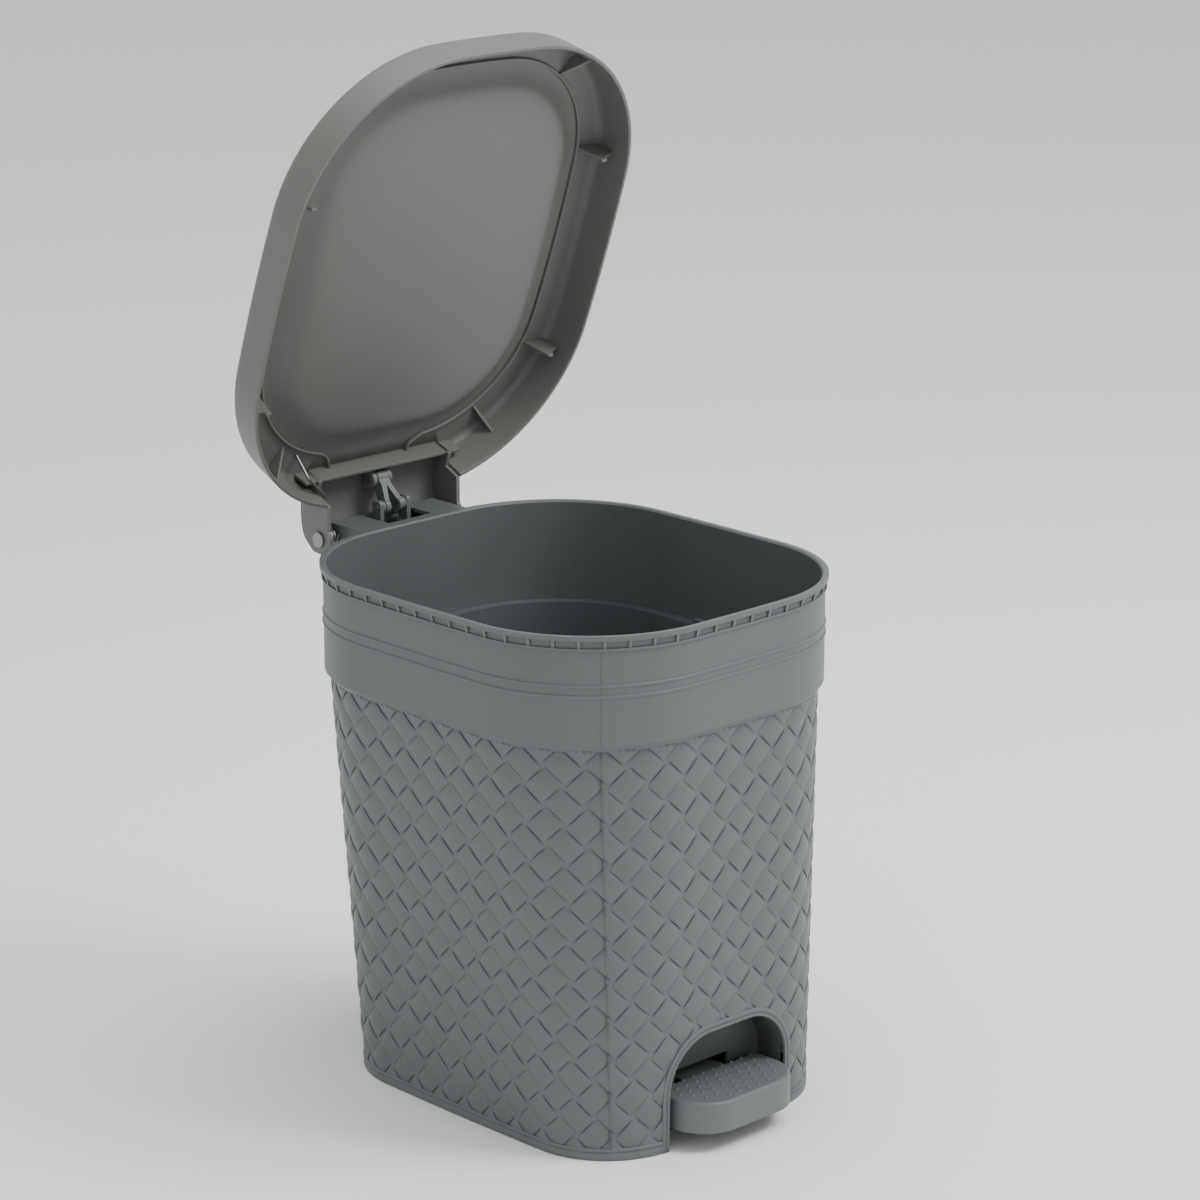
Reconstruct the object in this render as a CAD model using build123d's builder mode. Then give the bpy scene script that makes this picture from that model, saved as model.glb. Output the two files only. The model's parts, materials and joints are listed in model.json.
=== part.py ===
"""Pedal bin: woven-look body, lift-out bucket, and a lid that a foot lever opens.

The front, with the pedal, faces -Y. The hinge is at the back, +Y. The origin is on the floor,
under the middle of the rim. The bin is drawn with its pedal pressed and its lid open.
"""

import os
from math import cos, radians, sin

from build123d import *

os.makedirs("parts", exist_ok=True)

# ---------------------------------------------------------------- driving dimensions, mm
# Rim and band
bin_height = 330.0
rim_half_width = 129.7
rim_half_depth = 145.6
rim_corner = 92.6
side_bulge = 4.3
rim_thick = 3.0
neck_height = 4.5
ledge_thick = 1.5
ledge_inset = 1.0
band_inset = 2.0
band_height = 57.8
rim_chamfer = 1.1

# Woven wall below the band
weave_step = 4.5
step_height = 5.2
base_half_width = 103.6
base_half_depth = 125.8
base_corner = 55.0
base_bulge = 3.0
base_shift = -8.9
wall = 2.2
false_floor_height = 76.0

# Pedal niche in the front wall
niche_width = 99.0
niche_height = 68.0
niche_corner = 33.0
niche_depth = 21.8
notch_width = 45.0
notch_height = 38.0

# Pedal lever and its axle
axle_y = -20.0
axle_z = 22.5
axle_radius = 4.0
running_gap = 0.05
arm_width = 36.0
tail_width = 24.0
arm_top = 31.0
arm_height = 17.0
arm_wall = 2.6
tail_start = 96.0
paddle_width = 90.0
paddle_back = -116.0
paddle_front = -160.0
paddle_top = 32.5
paddle_height = 19.5
paddle_corner = 26.0
saddle_width = 12.0
saddle_length = 26.0
saddle_gap = 1.5
cap_height = 10.0
screw_pitch = 16.0
screw_radius = 1.6
screw_head_radius = 3.4
screw_head_height = 2.4

# Push rod, fork and link
rod_foot_y = 160.0
rod_foot_z = 36.0
rod_radius = 2.25
rod_bend = 4.0
ear_start = 4.0
ear_thick = 4.0
ear_radius = 7.0
clip_radius = 5.0
clip_thick = 1.2
fork_y = 167.9
fork_rise = 5.3
fork_z = bin_height + fork_rise
fork_half_width = 12.7
fork_depth = 8.0
post_thick = 3.0
post_rise = 4.6
crossbar_height = 9.0
crossbar_drop = 14.3
fork_boss_radius = 4.0
link_length = 19.45
link_lean = 37.4
link_head_radius = 4.9
link_head_half_width = 4.0
link_foot_radius = 4.5
link_foot_thick = 3.5
link_pin_radius = 2.0
upper_pin_radius = 1.5
link_play = 1.25
side_gap = 0.4
rivet_head = 0.9

# Hinge block, rear channel and cover
hinge_y = 173.0
hinge_drop = 8.0
hinge_z = bin_height - hinge_drop
block_half_width = 43.5
block_back = 180.0
block_drop = 40.0
block_wall = 2.5
shaft_hole_half_width = 18.0
shaft_hole_front = 150.0
shaft_hole_back = 176.0
channel_half_width = 18.0
channel_back = 171.8
lever_slot_half_width = 13.4
lever_slot_height = 52.0
cover_thick = 2.2
cover_screw_x = 13.4
cover_screw_heights = (62.0, 165.0, 268.0)
cover_boss_radius = 3.2
cover_screw_radius = 1.4
cover_screw_length = 9.0
guide_height = 180.0
guide_thick = 3.0
guide_slack = 1.0
hinge_pin_radius = 3.0
hinge_pin_inner = 30.0
cheek_boss_inner = 28.0
cheek_boss_radius = 6.5
pin_head_radius = 5.0
pin_head_thick = 1.4

# Lid, given as it lies when shut: u runs back from the hinge, h runs up from it
lid_open = 70.0
lid_half_width = 138.0
lid_half_depth = 158.0
lid_corner = 108.0
lid_bulge = 9.0
lid_centre = -177.4
lid_height = 28.5
lid_draft = 5.0
lid_edge_round = 7.0
lid_wall = 2.4
dish_half_width = 107.0
dish_half_depth = 127.5
dish_corner = 76.0
dish_centre = -179.5
dish_depth = 7.0
dish_slope = 8.5
bead_margin = 8.0
bead_width = 2.0
bead_height = 2.2
cheek_half_width = 56.0
cheek_thick = 3.0
cheek_low = 12.0
cross_wall_u = -34.0
cross_wall_half_width = 65.0
cross_wall_low = 14.0
boss_radius = 29.56
boss_angle = 35.1
boss_wall = 3.4
boss_round = 5.5
rib_thick = 2.0
web_reach = 84.0
web_angle = 53.9
spring_wire = 0.9
spring_coil = 4.3
spring_turns = 3.5
spring_pitch = 1.95
leg_gap = 0.3

# Bucket and its bail
bucket_gap = 2.5
bucket_wall = 1.8
bucket_floor = 80.0
bucket_lip = 2.0
lip_gap = 0.6
inner_ledge_drop = 67.5
bail_radius = 2.0
bail_half_width = 120.0
bail_front = -118.0
bail_corner = 70.0
lug_half_length = 7.0
lug_thick = 4.5
lug_depth = 12.0
grip_half_length = 40.0
grip_radius = 6.0

# ---------------------------------------------------------------- places worked out from them
ring_base = bin_height - rim_thick
ledge_top = ring_base - neck_height
band_top = ledge_top - ledge_thick
band_bottom = band_top - band_height
step_foot = band_bottom - step_height
inner_ledge = bin_height - inner_ledge_drop
band_bore_inset = band_inset + wall
weave_top_inset = band_inset + weave_step
base_front = base_shift - base_half_depth
niche_back = base_front + niche_depth
fork_low = fork_z - crossbar_drop - crossbar_height
saddle_inner = arm_width / 2 + saddle_gap
lean = radians(link_lean)
link_head_y = fork_y + link_length * sin(lean)
link_head_z = fork_z + link_length * cos(lean)
shut = radians(lid_open)
boss_u = -boss_radius * cos(radians(boss_angle))
boss_h = boss_radius * sin(radians(boss_angle))
link_slack_radius = upper_pin_radius + link_play


def plan_face(plane, half_width, half_depth, corner, bulge, centre_y=0.0):
    """Rounded rectangle whose four sides bow outwards by bulge."""
    side_radius = (half_depth**2 + bulge**2) / (2 * bulge)
    end_radius = (half_width**2 + bulge**2) / (2 * bulge)
    with BuildSketch(plane) as outline:
        with Locations((half_width - side_radius, centre_y)):
            Circle(side_radius)
        with Locations((side_radius - half_width, centre_y)):
            Circle(side_radius, mode=Mode.INTERSECT)
        with Locations((0, centre_y + half_depth - end_radius)):
            Circle(end_radius, mode=Mode.INTERSECT)
        with Locations((0, centre_y + end_radius - half_depth)):
            Circle(end_radius, mode=Mode.INTERSECT)
        fillet(outline.vertices(), corner)
    return outline.sketch


def band_face(height, inset):
    """Section of the straight-sided top of the bin, inset from the rim's edge."""
    return plan_face(
        Plane.XY.offset(height),
        rim_half_width - inset,
        rim_half_depth - inset,
        rim_corner - inset,
        side_bulge,
    )


def wall_face(height, inset=0.0):
    """Section of the tapered wall at a height, inset from its outer face."""
    share = height / step_foot
    top_width = rim_half_width - weave_top_inset
    top_depth = rim_half_depth - weave_top_inset
    top_corner = rim_corner - weave_top_inset
    return plan_face(
        Plane.XY.offset(height),
        base_half_width + (top_width - base_half_width) * share - inset,
        base_half_depth + (top_depth - base_half_depth) * share - inset,
        base_corner + (top_corner - base_corner) * share - inset,
        base_bulge + (side_bulge - base_bulge) * share,
        base_shift * (1 - share),
    )


def lid_level(level):
    """Plane across the open lid; its local Y runs back from the hinge."""
    base = Plane(origin=(0, hinge_y, hinge_z), x_dir=(1, 0, 0), z_dir=(0, sin(shut), cos(shut)))
    return base.offset(level)


def lid_side(offset):
    """Plane along the open lid; its local X runs back from the hinge and its local Y up."""
    base = Plane(origin=(0, hinge_y, hinge_z), x_dir=(0, cos(shut), -sin(shut)), z_dir=(1, 0, 0))
    return base.offset(offset)


def lid_cross(back):
    """Plane across the open lid's front-to-back line; its local Y runs up."""
    base = Plane(origin=(0, hinge_y, hinge_z), x_dir=(1, 0, 0), z_dir=(0, -cos(shut), sin(shut)))
    return base.offset(-back)


def block(low, high, mode=Mode.ADD):
    """Box between two corners."""
    size = [b - a for a, b in zip(low, high)]
    middle = [(a + b) / 2 for a, b in zip(low, high)]
    with Locations(Vector(*middle)):
        Box(*size, mode=mode)


def bar_x(start, end, y, z, radius, mode=Mode.ADD):
    """Round bar along X from start to end."""
    with BuildSketch(Plane.YZ.offset(start)) as section:
        with Locations((y, z)):
            Circle(radius)
    extrude(section.sketch, amount=end - start, mode=mode)


def arch(grow):
    """Arch-topped niche outline, standing on the floor and grown all round."""
    with BuildSketch(Plane.XZ.offset(-niche_back - grow)) as outline:
        with Locations((0, (niche_height + grow) / 2)):
            Rectangle(niche_width + 2 * grow, niche_height + grow)
        fillet(outline.vertices().group_by(Axis.Y)[-1], niche_corner + grow)
    return outline.sketch


def finish(piece, name):
    """Label a finished piece and write it."""
    piece.part.label = name
    export_step(piece.part, f"parts/{name}.step")


# ---------------------------------------------------------------- outer body
with BuildPart() as niche_wall:
    extrude(arch(wall), amount=niche_depth + rim_half_depth)
    loft([wall_face(0, wall / 2), wall_face(niche_height + 2 * wall, wall / 2)], mode=Mode.INTERSECT)

with BuildPart() as channel:
    block((-channel_half_width, 0, 0), (channel_half_width, channel_back, bin_height - block_drop))
    block(
        (wall - channel_half_width, 0, -1),
        (channel_half_width - wall, channel_back + 1, bin_height - block_drop + 1),
        Mode.SUBTRACT,
    )
    for screw_height in cover_screw_heights:
        for side in (-1, 1):
            with BuildSketch(Plane.XZ.offset(-channel_back)):
                with Locations((side * cover_screw_x, screw_height)):
                    Circle(cover_boss_radius)
            extrude(amount=channel_back - base_half_depth)
            with BuildSketch(Plane.XZ.offset(-channel_back)):
                with Locations((side * cover_screw_x, screw_height)):
                    Circle(cover_screw_radius)
            extrude(amount=cover_screw_length, mode=Mode.SUBTRACT)
    loft([wall_face(0, wall / 2), wall_face(step_foot, wall / 2)], mode=Mode.SUBTRACT)
    extrude(band_face(step_foot, band_inset + wall / 2), amount=bin_height, mode=Mode.SUBTRACT)

with BuildPart() as hinge_block:
    block((-block_half_width, 0, bin_height - block_drop), (block_half_width, block_back, bin_height))
    fillet(hinge_block.edges().filter_by(Axis.X).group_by(Axis.Y)[-1].group_by(Axis.Z)[-1], 3.0)
    block(
        (block_wall - block_half_width, 1, bin_height - block_drop + block_wall),
        (block_half_width - block_wall, block_back - block_wall, bin_height - block_wall),
        Mode.SUBTRACT,
    )
    block(
        (wall - channel_half_width, 1, bin_height - block_drop - 1),
        (channel_half_width - wall, channel_back, bin_height - block_wall),
        Mode.SUBTRACT,
    )
    block(
        (-shaft_hole_half_width, shaft_hole_front, bin_height - 2 * block_wall),
        (shaft_hole_half_width, shaft_hole_back, bin_height + 1),
        Mode.SUBTRACT,
    )
    for side in (-1, 1):
        bar_x(side * cheek_boss_inner, side * (block_half_width - 1), hinge_y, hinge_z, cheek_boss_radius)
        bar_x(side * (cheek_boss_inner - 1), side * (block_half_width + 1), hinge_y, hinge_z, hinge_pin_radius, Mode.SUBTRACT)
    outside_band = band_face(band_bottom - block_drop, band_inset + wall / 2)
    extrude(outside_band, amount=bin_height, mode=Mode.SUBTRACT)

with BuildPart() as outer_body:
    loft([wall_face(0), wall_face(step_foot)])
    loft([wall_face(step_foot), band_face(band_bottom, band_inset)], ruled=True)
    extrude(band_face(band_bottom, band_inset), amount=ring_base - band_bottom)
    extrude(band_face(band_top, ledge_inset), amount=ledge_thick)
    extrude(band_face(ring_base, 0), amount=rim_thick)
    loft([wall_face(false_floor_height, wall), wall_face(inner_ledge, wall)], mode=Mode.SUBTRACT)
    bore_height = bin_height - inner_ledge - rim_chamfer
    extrude(band_face(inner_ledge, band_bore_inset), amount=bore_height, mode=Mode.SUBTRACT)
    bore_mouth = band_face(bin_height, band_bore_inset - rim_chamfer)
    loft([band_face(bin_height - rim_chamfer, band_bore_inset), bore_mouth], mode=Mode.SUBTRACT)
    loft([wall_face(0, wall), wall_face(false_floor_height - wall, wall)], mode=Mode.SUBTRACT)
    add(niche_wall.part)
    extrude(arch(0), amount=niche_depth + rim_half_depth, mode=Mode.SUBTRACT)
    block(
        (-notch_width / 2, niche_back - wall, -1),
        (notch_width / 2, niche_back + 2 * wall, notch_height),
        Mode.SUBTRACT,
    )
    for side in (-1, 1):
        inner = saddle_inner * side
        outer = (saddle_inner + saddle_width) * side
        block(
            (min(inner, outer), axle_y - saddle_length / 2, axle_z),
            (max(inner, outer), axle_y + saddle_length / 2, false_floor_height - wall / 2),
        )
        bar_x(inner - side, outer + side, axle_y, axle_z, axle_radius, Mode.SUBTRACT)
        for step in (-1, 1):
            with BuildSketch(Plane.XY.offset(axle_z)):
                with Locations(((inner + outer) / 2, axle_y + step * screw_pitch / 2)):
                    Circle(screw_radius)
            extrude(amount=screw_pitch, mode=Mode.SUBTRACT)
    add(channel.part)
    add(hinge_block.part)
    block(
        (-lever_slot_half_width, base_half_depth + base_shift - 3 * wall, -1),
        (lever_slot_half_width, rim_half_depth, lever_slot_height),
        Mode.SUBTRACT,
    )
finish(outer_body, "outer_body")

# ---------------------------------------------------------------- rear cover, guide, screws
with BuildPart() as rear_cover:
    block((-channel_half_width, channel_back, 0), (channel_half_width, channel_back + cover_thick,
                                                   bin_height - block_drop))
    fillet(rear_cover.edges().filter_by(Axis.Z).group_by(Axis.Y)[-1], 1.5)
    for screw_height in cover_screw_heights:
        for side in (-1, 1):
            with BuildSketch(Plane.XZ.offset(-channel_back - cover_thick)):
                with Locations((side * cover_screw_x, screw_height)):
                    Circle(cover_screw_radius + running_gap)
            extrude(amount=cover_thick, mode=Mode.SUBTRACT)
finish(rear_cover, "rear_cover")

with BuildPart() as cover_screws:
    for screw_height in cover_screw_heights:
        for side in (-1, 1):
            with BuildSketch(Plane.XZ.offset(-channel_back - cover_thick)):
                with Locations((side * cover_screw_x, screw_height)):
                    Circle(cover_screw_radius)
            extrude(amount=cover_thick + cover_screw_length - 1)
            with BuildSketch(Plane.XZ.offset(-channel_back - cover_thick)):
                with Locations((side * cover_screw_x, screw_height)):
                    Circle(2 * cover_screw_radius)
            extrude(amount=-cover_screw_radius)
finish(cover_screws, "rear_cover_screws")

with BuildPart() as rod_guide:
    guide_sway = (fork_y - rod_foot_y) * (guide_height - rod_foot_z) / (fork_z - rod_foot_z)
    block(
        (wall - channel_half_width, rod_foot_y - 10.0, guide_height),
        (channel_half_width - wall, channel_back, guide_height + guide_thick),
    )
    block(
        (-rod_radius - side_gap, rod_foot_y - rod_radius - guide_slack, guide_height - 1),
        (
            rod_radius + side_gap,
            rod_foot_y + guide_sway + rod_radius + guide_slack,
            guide_height + guide_thick + 1,
        ),
        Mode.SUBTRACT,
    )
finish(rod_guide, "rod_guide")

# ---------------------------------------------------------------- pedal, axle and caps
with BuildPart() as pedal:
    with BuildSketch(Plane.XY.offset(paddle_top - paddle_height)) as paddle_plan:
        with Locations((0, (paddle_front + paddle_back) / 2)):
            Rectangle(paddle_width, paddle_back - paddle_front)
        fillet(paddle_plan.vertices().group_by(Axis.Y)[0], paddle_corner)
        fillet(paddle_plan.vertices().group_by(Axis.Y)[-1], 6.0)
    extrude(amount=paddle_height)
    fillet(pedal.edges().group_by(Axis.Z)[-1], 2.5)
    with BuildSketch(Plane.XY.offset(paddle_top - paddle_height)) as paddle_core:
        with Locations((0, (paddle_front + paddle_back) / 2)):
            Rectangle(paddle_width - 2 * arm_wall, paddle_back - paddle_front - 2 * arm_wall)
        fillet(paddle_core.vertices().group_by(Axis.Y)[0], paddle_corner - arm_wall)
    extrude(amount=paddle_height - arm_wall - 1.0, mode=Mode.SUBTRACT)
    arm_low = arm_top - arm_height
    block((-arm_width / 2, paddle_back - arm_wall, arm_low), (arm_width / 2, tail_start, arm_top))
    block((-tail_width / 2, tail_start, arm_low), (tail_width / 2, rod_foot_y + ear_radius, arm_top))
    block(
        (arm_wall - arm_width / 2, paddle_back, arm_low - 1),
        (arm_width / 2 - arm_wall, tail_start - arm_wall, arm_top - arm_wall),
        Mode.SUBTRACT,
    )
    block(
        (arm_wall - tail_width / 2, tail_start - 2 * arm_wall, arm_low - 1),
        (tail_width / 2 - arm_wall, rod_foot_y + ear_radius - arm_wall, arm_top - arm_wall),
        Mode.SUBTRACT,
    )
    bar_x(-arm_width / 2, arm_width / 2, axle_y, axle_z, axle_radius + 3.0)
    bar_x(-arm_width / 2 - 1, arm_width / 2 + 1, axle_y, axle_z, axle_radius + running_gap, Mode.SUBTRACT)
    block(
        (ear_start, rod_foot_y - ear_radius, arm_top - 2 * arm_wall),
        (ear_start + ear_thick, rod_foot_y + ear_radius, rod_foot_z),
    )
    bar_x(ear_start, ear_start + ear_thick, rod_foot_y, rod_foot_z, ear_radius)
    bar_x(
        ear_start - 1,
        ear_start + ear_thick + 1,
        rod_foot_y,
        rod_foot_z,
        rod_radius + running_gap,
        Mode.SUBTRACT,
    )
finish(pedal, "pedal")

axle_end = saddle_inner + saddle_width
with BuildPart() as pedal_axle:
    bar_x(-axle_end, axle_end, axle_y, axle_z, axle_radius)
    chamfer(pedal_axle.edges().filter_by(GeomType.CIRCLE), 0.6)
finish(pedal_axle, "pedal_axle")


def axle_cap(side):
    """Cap that closes one saddle under the axle."""
    inner = saddle_inner * side
    outer = axle_end * side
    with BuildPart() as cap:
        block(
            (min(inner, outer), axle_y - saddle_length / 2, axle_z - cap_height),
            (max(inner, outer), axle_y + saddle_length / 2, axle_z),
        )
        bar_x(inner - side, outer + side, axle_y, axle_z, axle_radius, Mode.SUBTRACT)
        for step in (-1, 1):
            with BuildSketch(Plane.XY.offset(axle_z - cap_height)):
                with Locations(((inner + outer) / 2, axle_y + step * screw_pitch / 2)):
                    Circle(screw_radius + running_gap)
            extrude(amount=cap_height, mode=Mode.SUBTRACT)
    return cap


finish(axle_cap(-1), "axle_cap_left")
finish(axle_cap(1), "axle_cap_right")

with BuildPart() as axle_cap_screws:
    for side in (-1, 1):
        for step in (-1, 1):
            spot = (side * (saddle_inner + axle_end) / 2, axle_y + step * screw_pitch / 2)
            with BuildSketch(Plane.XY.offset(axle_z - cap_height)):
                with Locations(spot):
                    Circle(screw_radius)
            extrude(amount=cap_height + screw_pitch - 2)
            with BuildSketch(Plane.XY.offset(axle_z - cap_height)):
                with Locations(spot):
                    Circle(screw_head_radius)
            extrude(amount=-screw_head_height)
finish(axle_cap_screws, "axle_cap_screws")

# ---------------------------------------------------------------- push rod, fork and link
rod_slope = (fork_y - rod_foot_y) / (fork_z - rod_foot_z)
hook_z = fork_z - crossbar_drop + rod_radius + 3.0
hook_y = rod_foot_y + rod_slope * (hook_z - rod_foot_z)
rod_end = ear_start + ear_thick + clip_thick + 2.0
with BuildPart() as push_rod:
    with BuildLine() as rod_line:
        FilletPolyline(
            (rod_end, rod_foot_y, rod_foot_z),
            (0, rod_foot_y, rod_foot_z),
            (0, hook_y, hook_z),
            (0, hook_y - 8.0, hook_z),
            radius=(rod_bend, rod_bend),
        )
    with BuildSketch(Plane.YZ.offset(rod_end)):
        with Locations((rod_foot_y, rod_foot_z)):
            Circle(rod_radius)
    sweep()
finish(push_rod, "push_rod")

with BuildPart() as rod_clip:
    clip_start = ear_start + ear_thick + side_gap
    bar_x(clip_start, clip_start + clip_thick, rod_foot_y, rod_foot_z, clip_radius)
    bar_x(clip_start - 1, clip_start + clip_thick + 1, rod_foot_y, rod_foot_z, rod_radius, Mode.SUBTRACT)
finish(rod_clip, "push_rod_clip")

with BuildPart() as push_rod_fork:
    block(
        (-fork_half_width, fork_y - fork_depth / 2, fork_low),
        (fork_half_width, fork_y + fork_depth / 2, fork_z + post_rise),
    )
    fillet(push_rod_fork.edges().filter_by(Axis.X).group_by(Axis.Z)[-1], 2.5)
    block(
        (post_thick - fork_half_width, fork_y - fork_depth, fork_low + crossbar_height),
        (fork_half_width - post_thick, fork_y + fork_depth, fork_z + 2 * post_rise),
        Mode.SUBTRACT,
    )
    for side in (-1, 1):
        post_face = side * (fork_half_width - post_thick)
        foot_face = side * (link_head_half_width + link_foot_thick - 0.3)
        bar_x(foot_face + side * side_gap, post_face, fork_y, fork_z, fork_boss_radius)
        bar_x(foot_face, side * (fork_half_width + 1), fork_y, fork_z, link_pin_radius, Mode.SUBTRACT)
    with BuildSketch(Plane.XY.offset(fork_low - 1)):
        with Locations((0, rod_foot_y + rod_slope * (fork_low + crossbar_height / 2 - rod_foot_z))):
            Circle(rod_radius + side_gap / 2)
    extrude(amount=crossbar_height + 2, mode=Mode.SUBTRACT)
finish(push_rod_fork, "push_rod_fork")

with BuildPart() as link_lower_pins:
    for side in (-1, 1):
        pin_inner = side * (link_head_half_width - 0.3)
        bar_x(pin_inner, side * fork_half_width, fork_y, fork_z, link_pin_radius)
        rivet_end = side * (fork_half_width + rivet_head)
        bar_x(side * fork_half_width, rivet_end, fork_y, fork_z, link_pin_radius + rivet_head)
finish(link_lower_pins, "link_lower_pins")

link_up = Plane(origin=(0, fork_y, fork_z), x_dir=(1, 0, 0), z_dir=(0, sin(lean), cos(lean)))
with BuildPart() as lid_link:
    bar_x(-link_head_half_width, link_head_half_width, link_head_y, link_head_z, link_head_radius)
    for side in (-1, 1):
        foot_inner = side * (link_head_half_width - 0.3)
        foot_outer = side * (link_head_half_width + link_foot_thick - 0.3)
        bar_x(foot_inner, foot_outer, fork_y, fork_z, link_foot_radius)
        with BuildSketch(link_up):
            with Locations(((foot_inner + foot_outer) / 2, 0)):
                Rectangle(link_foot_thick, 1.7 * link_foot_radius)
        with BuildSketch(link_up.offset(link_length - boss_round - 1.0)):
            with Locations((side * link_head_half_width / 2, 0)):
                Rectangle(link_head_half_width, 1.7 * link_head_radius)
        loft()
        with BuildSketch(link_up.offset(link_length - boss_round - 1.0)):
            with Locations((side * link_head_half_width / 2, 0)):
                Rectangle(link_head_half_width, 1.7 * link_head_radius)
        extrude(amount=boss_round + 1.0)
        bar_x(
            foot_inner - 2 * side,
            foot_outer + side,
            fork_y,
            fork_z,
            link_pin_radius + running_gap,
            Mode.SUBTRACT,
        )
    bar_x(
        -link_head_half_width - 1, link_head_half_width + 1, link_head_y, link_head_z, link_slack_radius,
        Mode.SUBTRACT,
    )
finish(lid_link, "lid_link")

# ---------------------------------------------------------------- lid
def dish_face(level, grow):
    """Section of the lid's dished middle at a level, grown all round."""
    return plan_face(
        lid_level(level),
        dish_half_width + grow,
        dish_half_depth + grow,
        dish_corner + grow,
        lid_bulge,
        dish_centre,
    )


with BuildPart() as lid_hollow:
    inner_skirt = plan_face(
        lid_level(0),
        lid_half_width - lid_wall,
        lid_half_depth - lid_wall,
        lid_corner - lid_wall,
        lid_bulge,
        lid_centre,
    )
    extrude(inner_skirt, amount=lid_height - lid_wall, taper=lid_draft)
    dish_low = lid_height - dish_depth - lid_wall
    loft(
        [dish_face(lid_height, lid_wall), dish_face(dish_low, lid_wall - dish_slope)],
        ruled=True,
        mode=Mode.SUBTRACT,
    )

with BuildPart() as hood:
    with BuildSketch(lid_side(-cheek_half_width)):
        with BuildLine():
            Line((cross_wall_u - 1, lid_height), (cross_wall_u - 1, cheek_low))
            Line((cross_wall_u - 1, cheek_low), (-25.5, cheek_low))
            Line((-25.5, cheek_low), (-24.0, 0))
            Line((-24.0, 0), (-8.5, -6.0))
            ThreePointArc((-8.5, -6.0), (0, -10.2), (8.5, -6.0))
            Line((8.5, -6.0), (10.6, 3.0))
            Spline((10.6, 3.0), (5.5, 14.2), (-4.0, 20.4), (-17.0, 24.8), (cross_wall_u - 1, lid_height))
        make_face()
    extrude(amount=2 * cheek_half_width)
    with BuildSketch(lid_side(cheek_thick - cheek_half_width)):
        with BuildLine():
            Line((cross_wall_u - 2, lid_height - lid_wall), (cross_wall_u - 2, -20))
            Line((cross_wall_u - 2, -20), (20, -20))
            Line((20, -20), (20, 8.0))
            Line((20, 8.0), (8.6, 8.0))
            hood_end = (cross_wall_u - 2, lid_height - lid_wall)
            Spline((8.6, 8.0), (4.0, 12.2), (-5.0, 17.9), (-18.0, 22.4), hood_end)
        make_face()
    extrude(amount=2 * (cheek_half_width - cheek_thick), mode=Mode.SUBTRACT)

lid_up = Axis((0, hinge_y, hinge_z), (0, sin(shut), cos(shut)))


toothed_webs = (-100.0, -242.0)
link_pin_y, link_pin_z = (
    hinge_y + boss_u * cos(shut) + boss_h * sin(shut),
    hinge_z - boss_u * sin(shut) + boss_h * cos(shut),
)


def toothed_web(side, u):
    """Web between the lid's skirt and ceiling, whose tooth drops inside the bin's rim."""
    skirt_x = lid_half_width - lid_wall / 2
    rim_h = bin_height - hinge_z
    rim_bore = rim_half_width - rim_thick
    with BuildSketch(lid_cross(u)) as web:
        Polygon(
            (side * skirt_x, rim_h + 4.5),
            (side * (rim_bore - 4.0), rim_h + 1.2),
            (side * (rim_bore - 5.0), rim_h - 2.2),
            (side * (rim_bore - 9.0), rim_h - 2.0),
            (side * (rim_bore - 14.0), lid_height - lid_wall / 2),
            (side * (skirt_x - 2.0), lid_height - lid_wall / 2),
            align=None,
        )
    extrude(web.sketch, amount=rib_thick / 2, both=True)


def corner_web(side, end):
    """Plain three-cornered web inside a corner of the lid."""
    base = lid_level(0)
    turn = radians(web_angle)
    out = base.x_dir * (side * cos(turn)) + base.y_dir * (end * sin(turn))
    middle_x = lid_half_width - lid_corner - rib_thick
    middle_u = lid_half_depth - lid_corner - rib_thick
    origin = base.from_local_coords(Vector(side * middle_x, lid_centre + end * middle_u, 0))
    with BuildSketch(Plane(origin=origin, x_dir=out, z_dir=out.cross(base.z_dir))) as web:
        Polygon(
            (lid_corner - lid_wall / 2, bin_height - hinge_z + 4.5),
            (web_reach, lid_height - lid_wall / 2),
            (lid_corner - lid_wall, lid_height - lid_wall / 2),
            align=None,
        )
    extrude(web.sketch, amount=rib_thick / 2, both=True)


with BuildPart() as bead:
    bead_low = lid_level(lid_height - lid_wall - bead_height)
    bead_sizes = (dish_half_width + bead_margin, dish_half_depth + bead_margin, dish_corner + bead_margin)
    outer_bead = plan_face(bead_low, *bead_sizes, lid_bulge, dish_centre)
    extrude(outer_bead, amount=bead_height + lid_wall / 2)
    inner_bead = plan_face(bead_low, *[size - bead_width for size in bead_sizes], lid_bulge, dish_centre)
    extrude(inner_bead, amount=bead_height + lid_wall, mode=Mode.SUBTRACT)

with BuildPart() as lid_form:
    outer_skirt = plan_face(lid_level(0), lid_half_width, lid_half_depth, lid_corner, lid_bulge, lid_centre)
    extrude(outer_skirt, amount=lid_height, taper=lid_draft)
    fillet(lid_form.faces().sort_by(lid_up)[-1].edges(), lid_edge_round)

with BuildPart() as webs:
    for side in (-1, 1):
        for u in toothed_webs:
            toothed_web(side, u)
        for end in (-1, 1):
            corner_web(side, end)
    add(lid_form.part, mode=Mode.INTERSECT)

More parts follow.
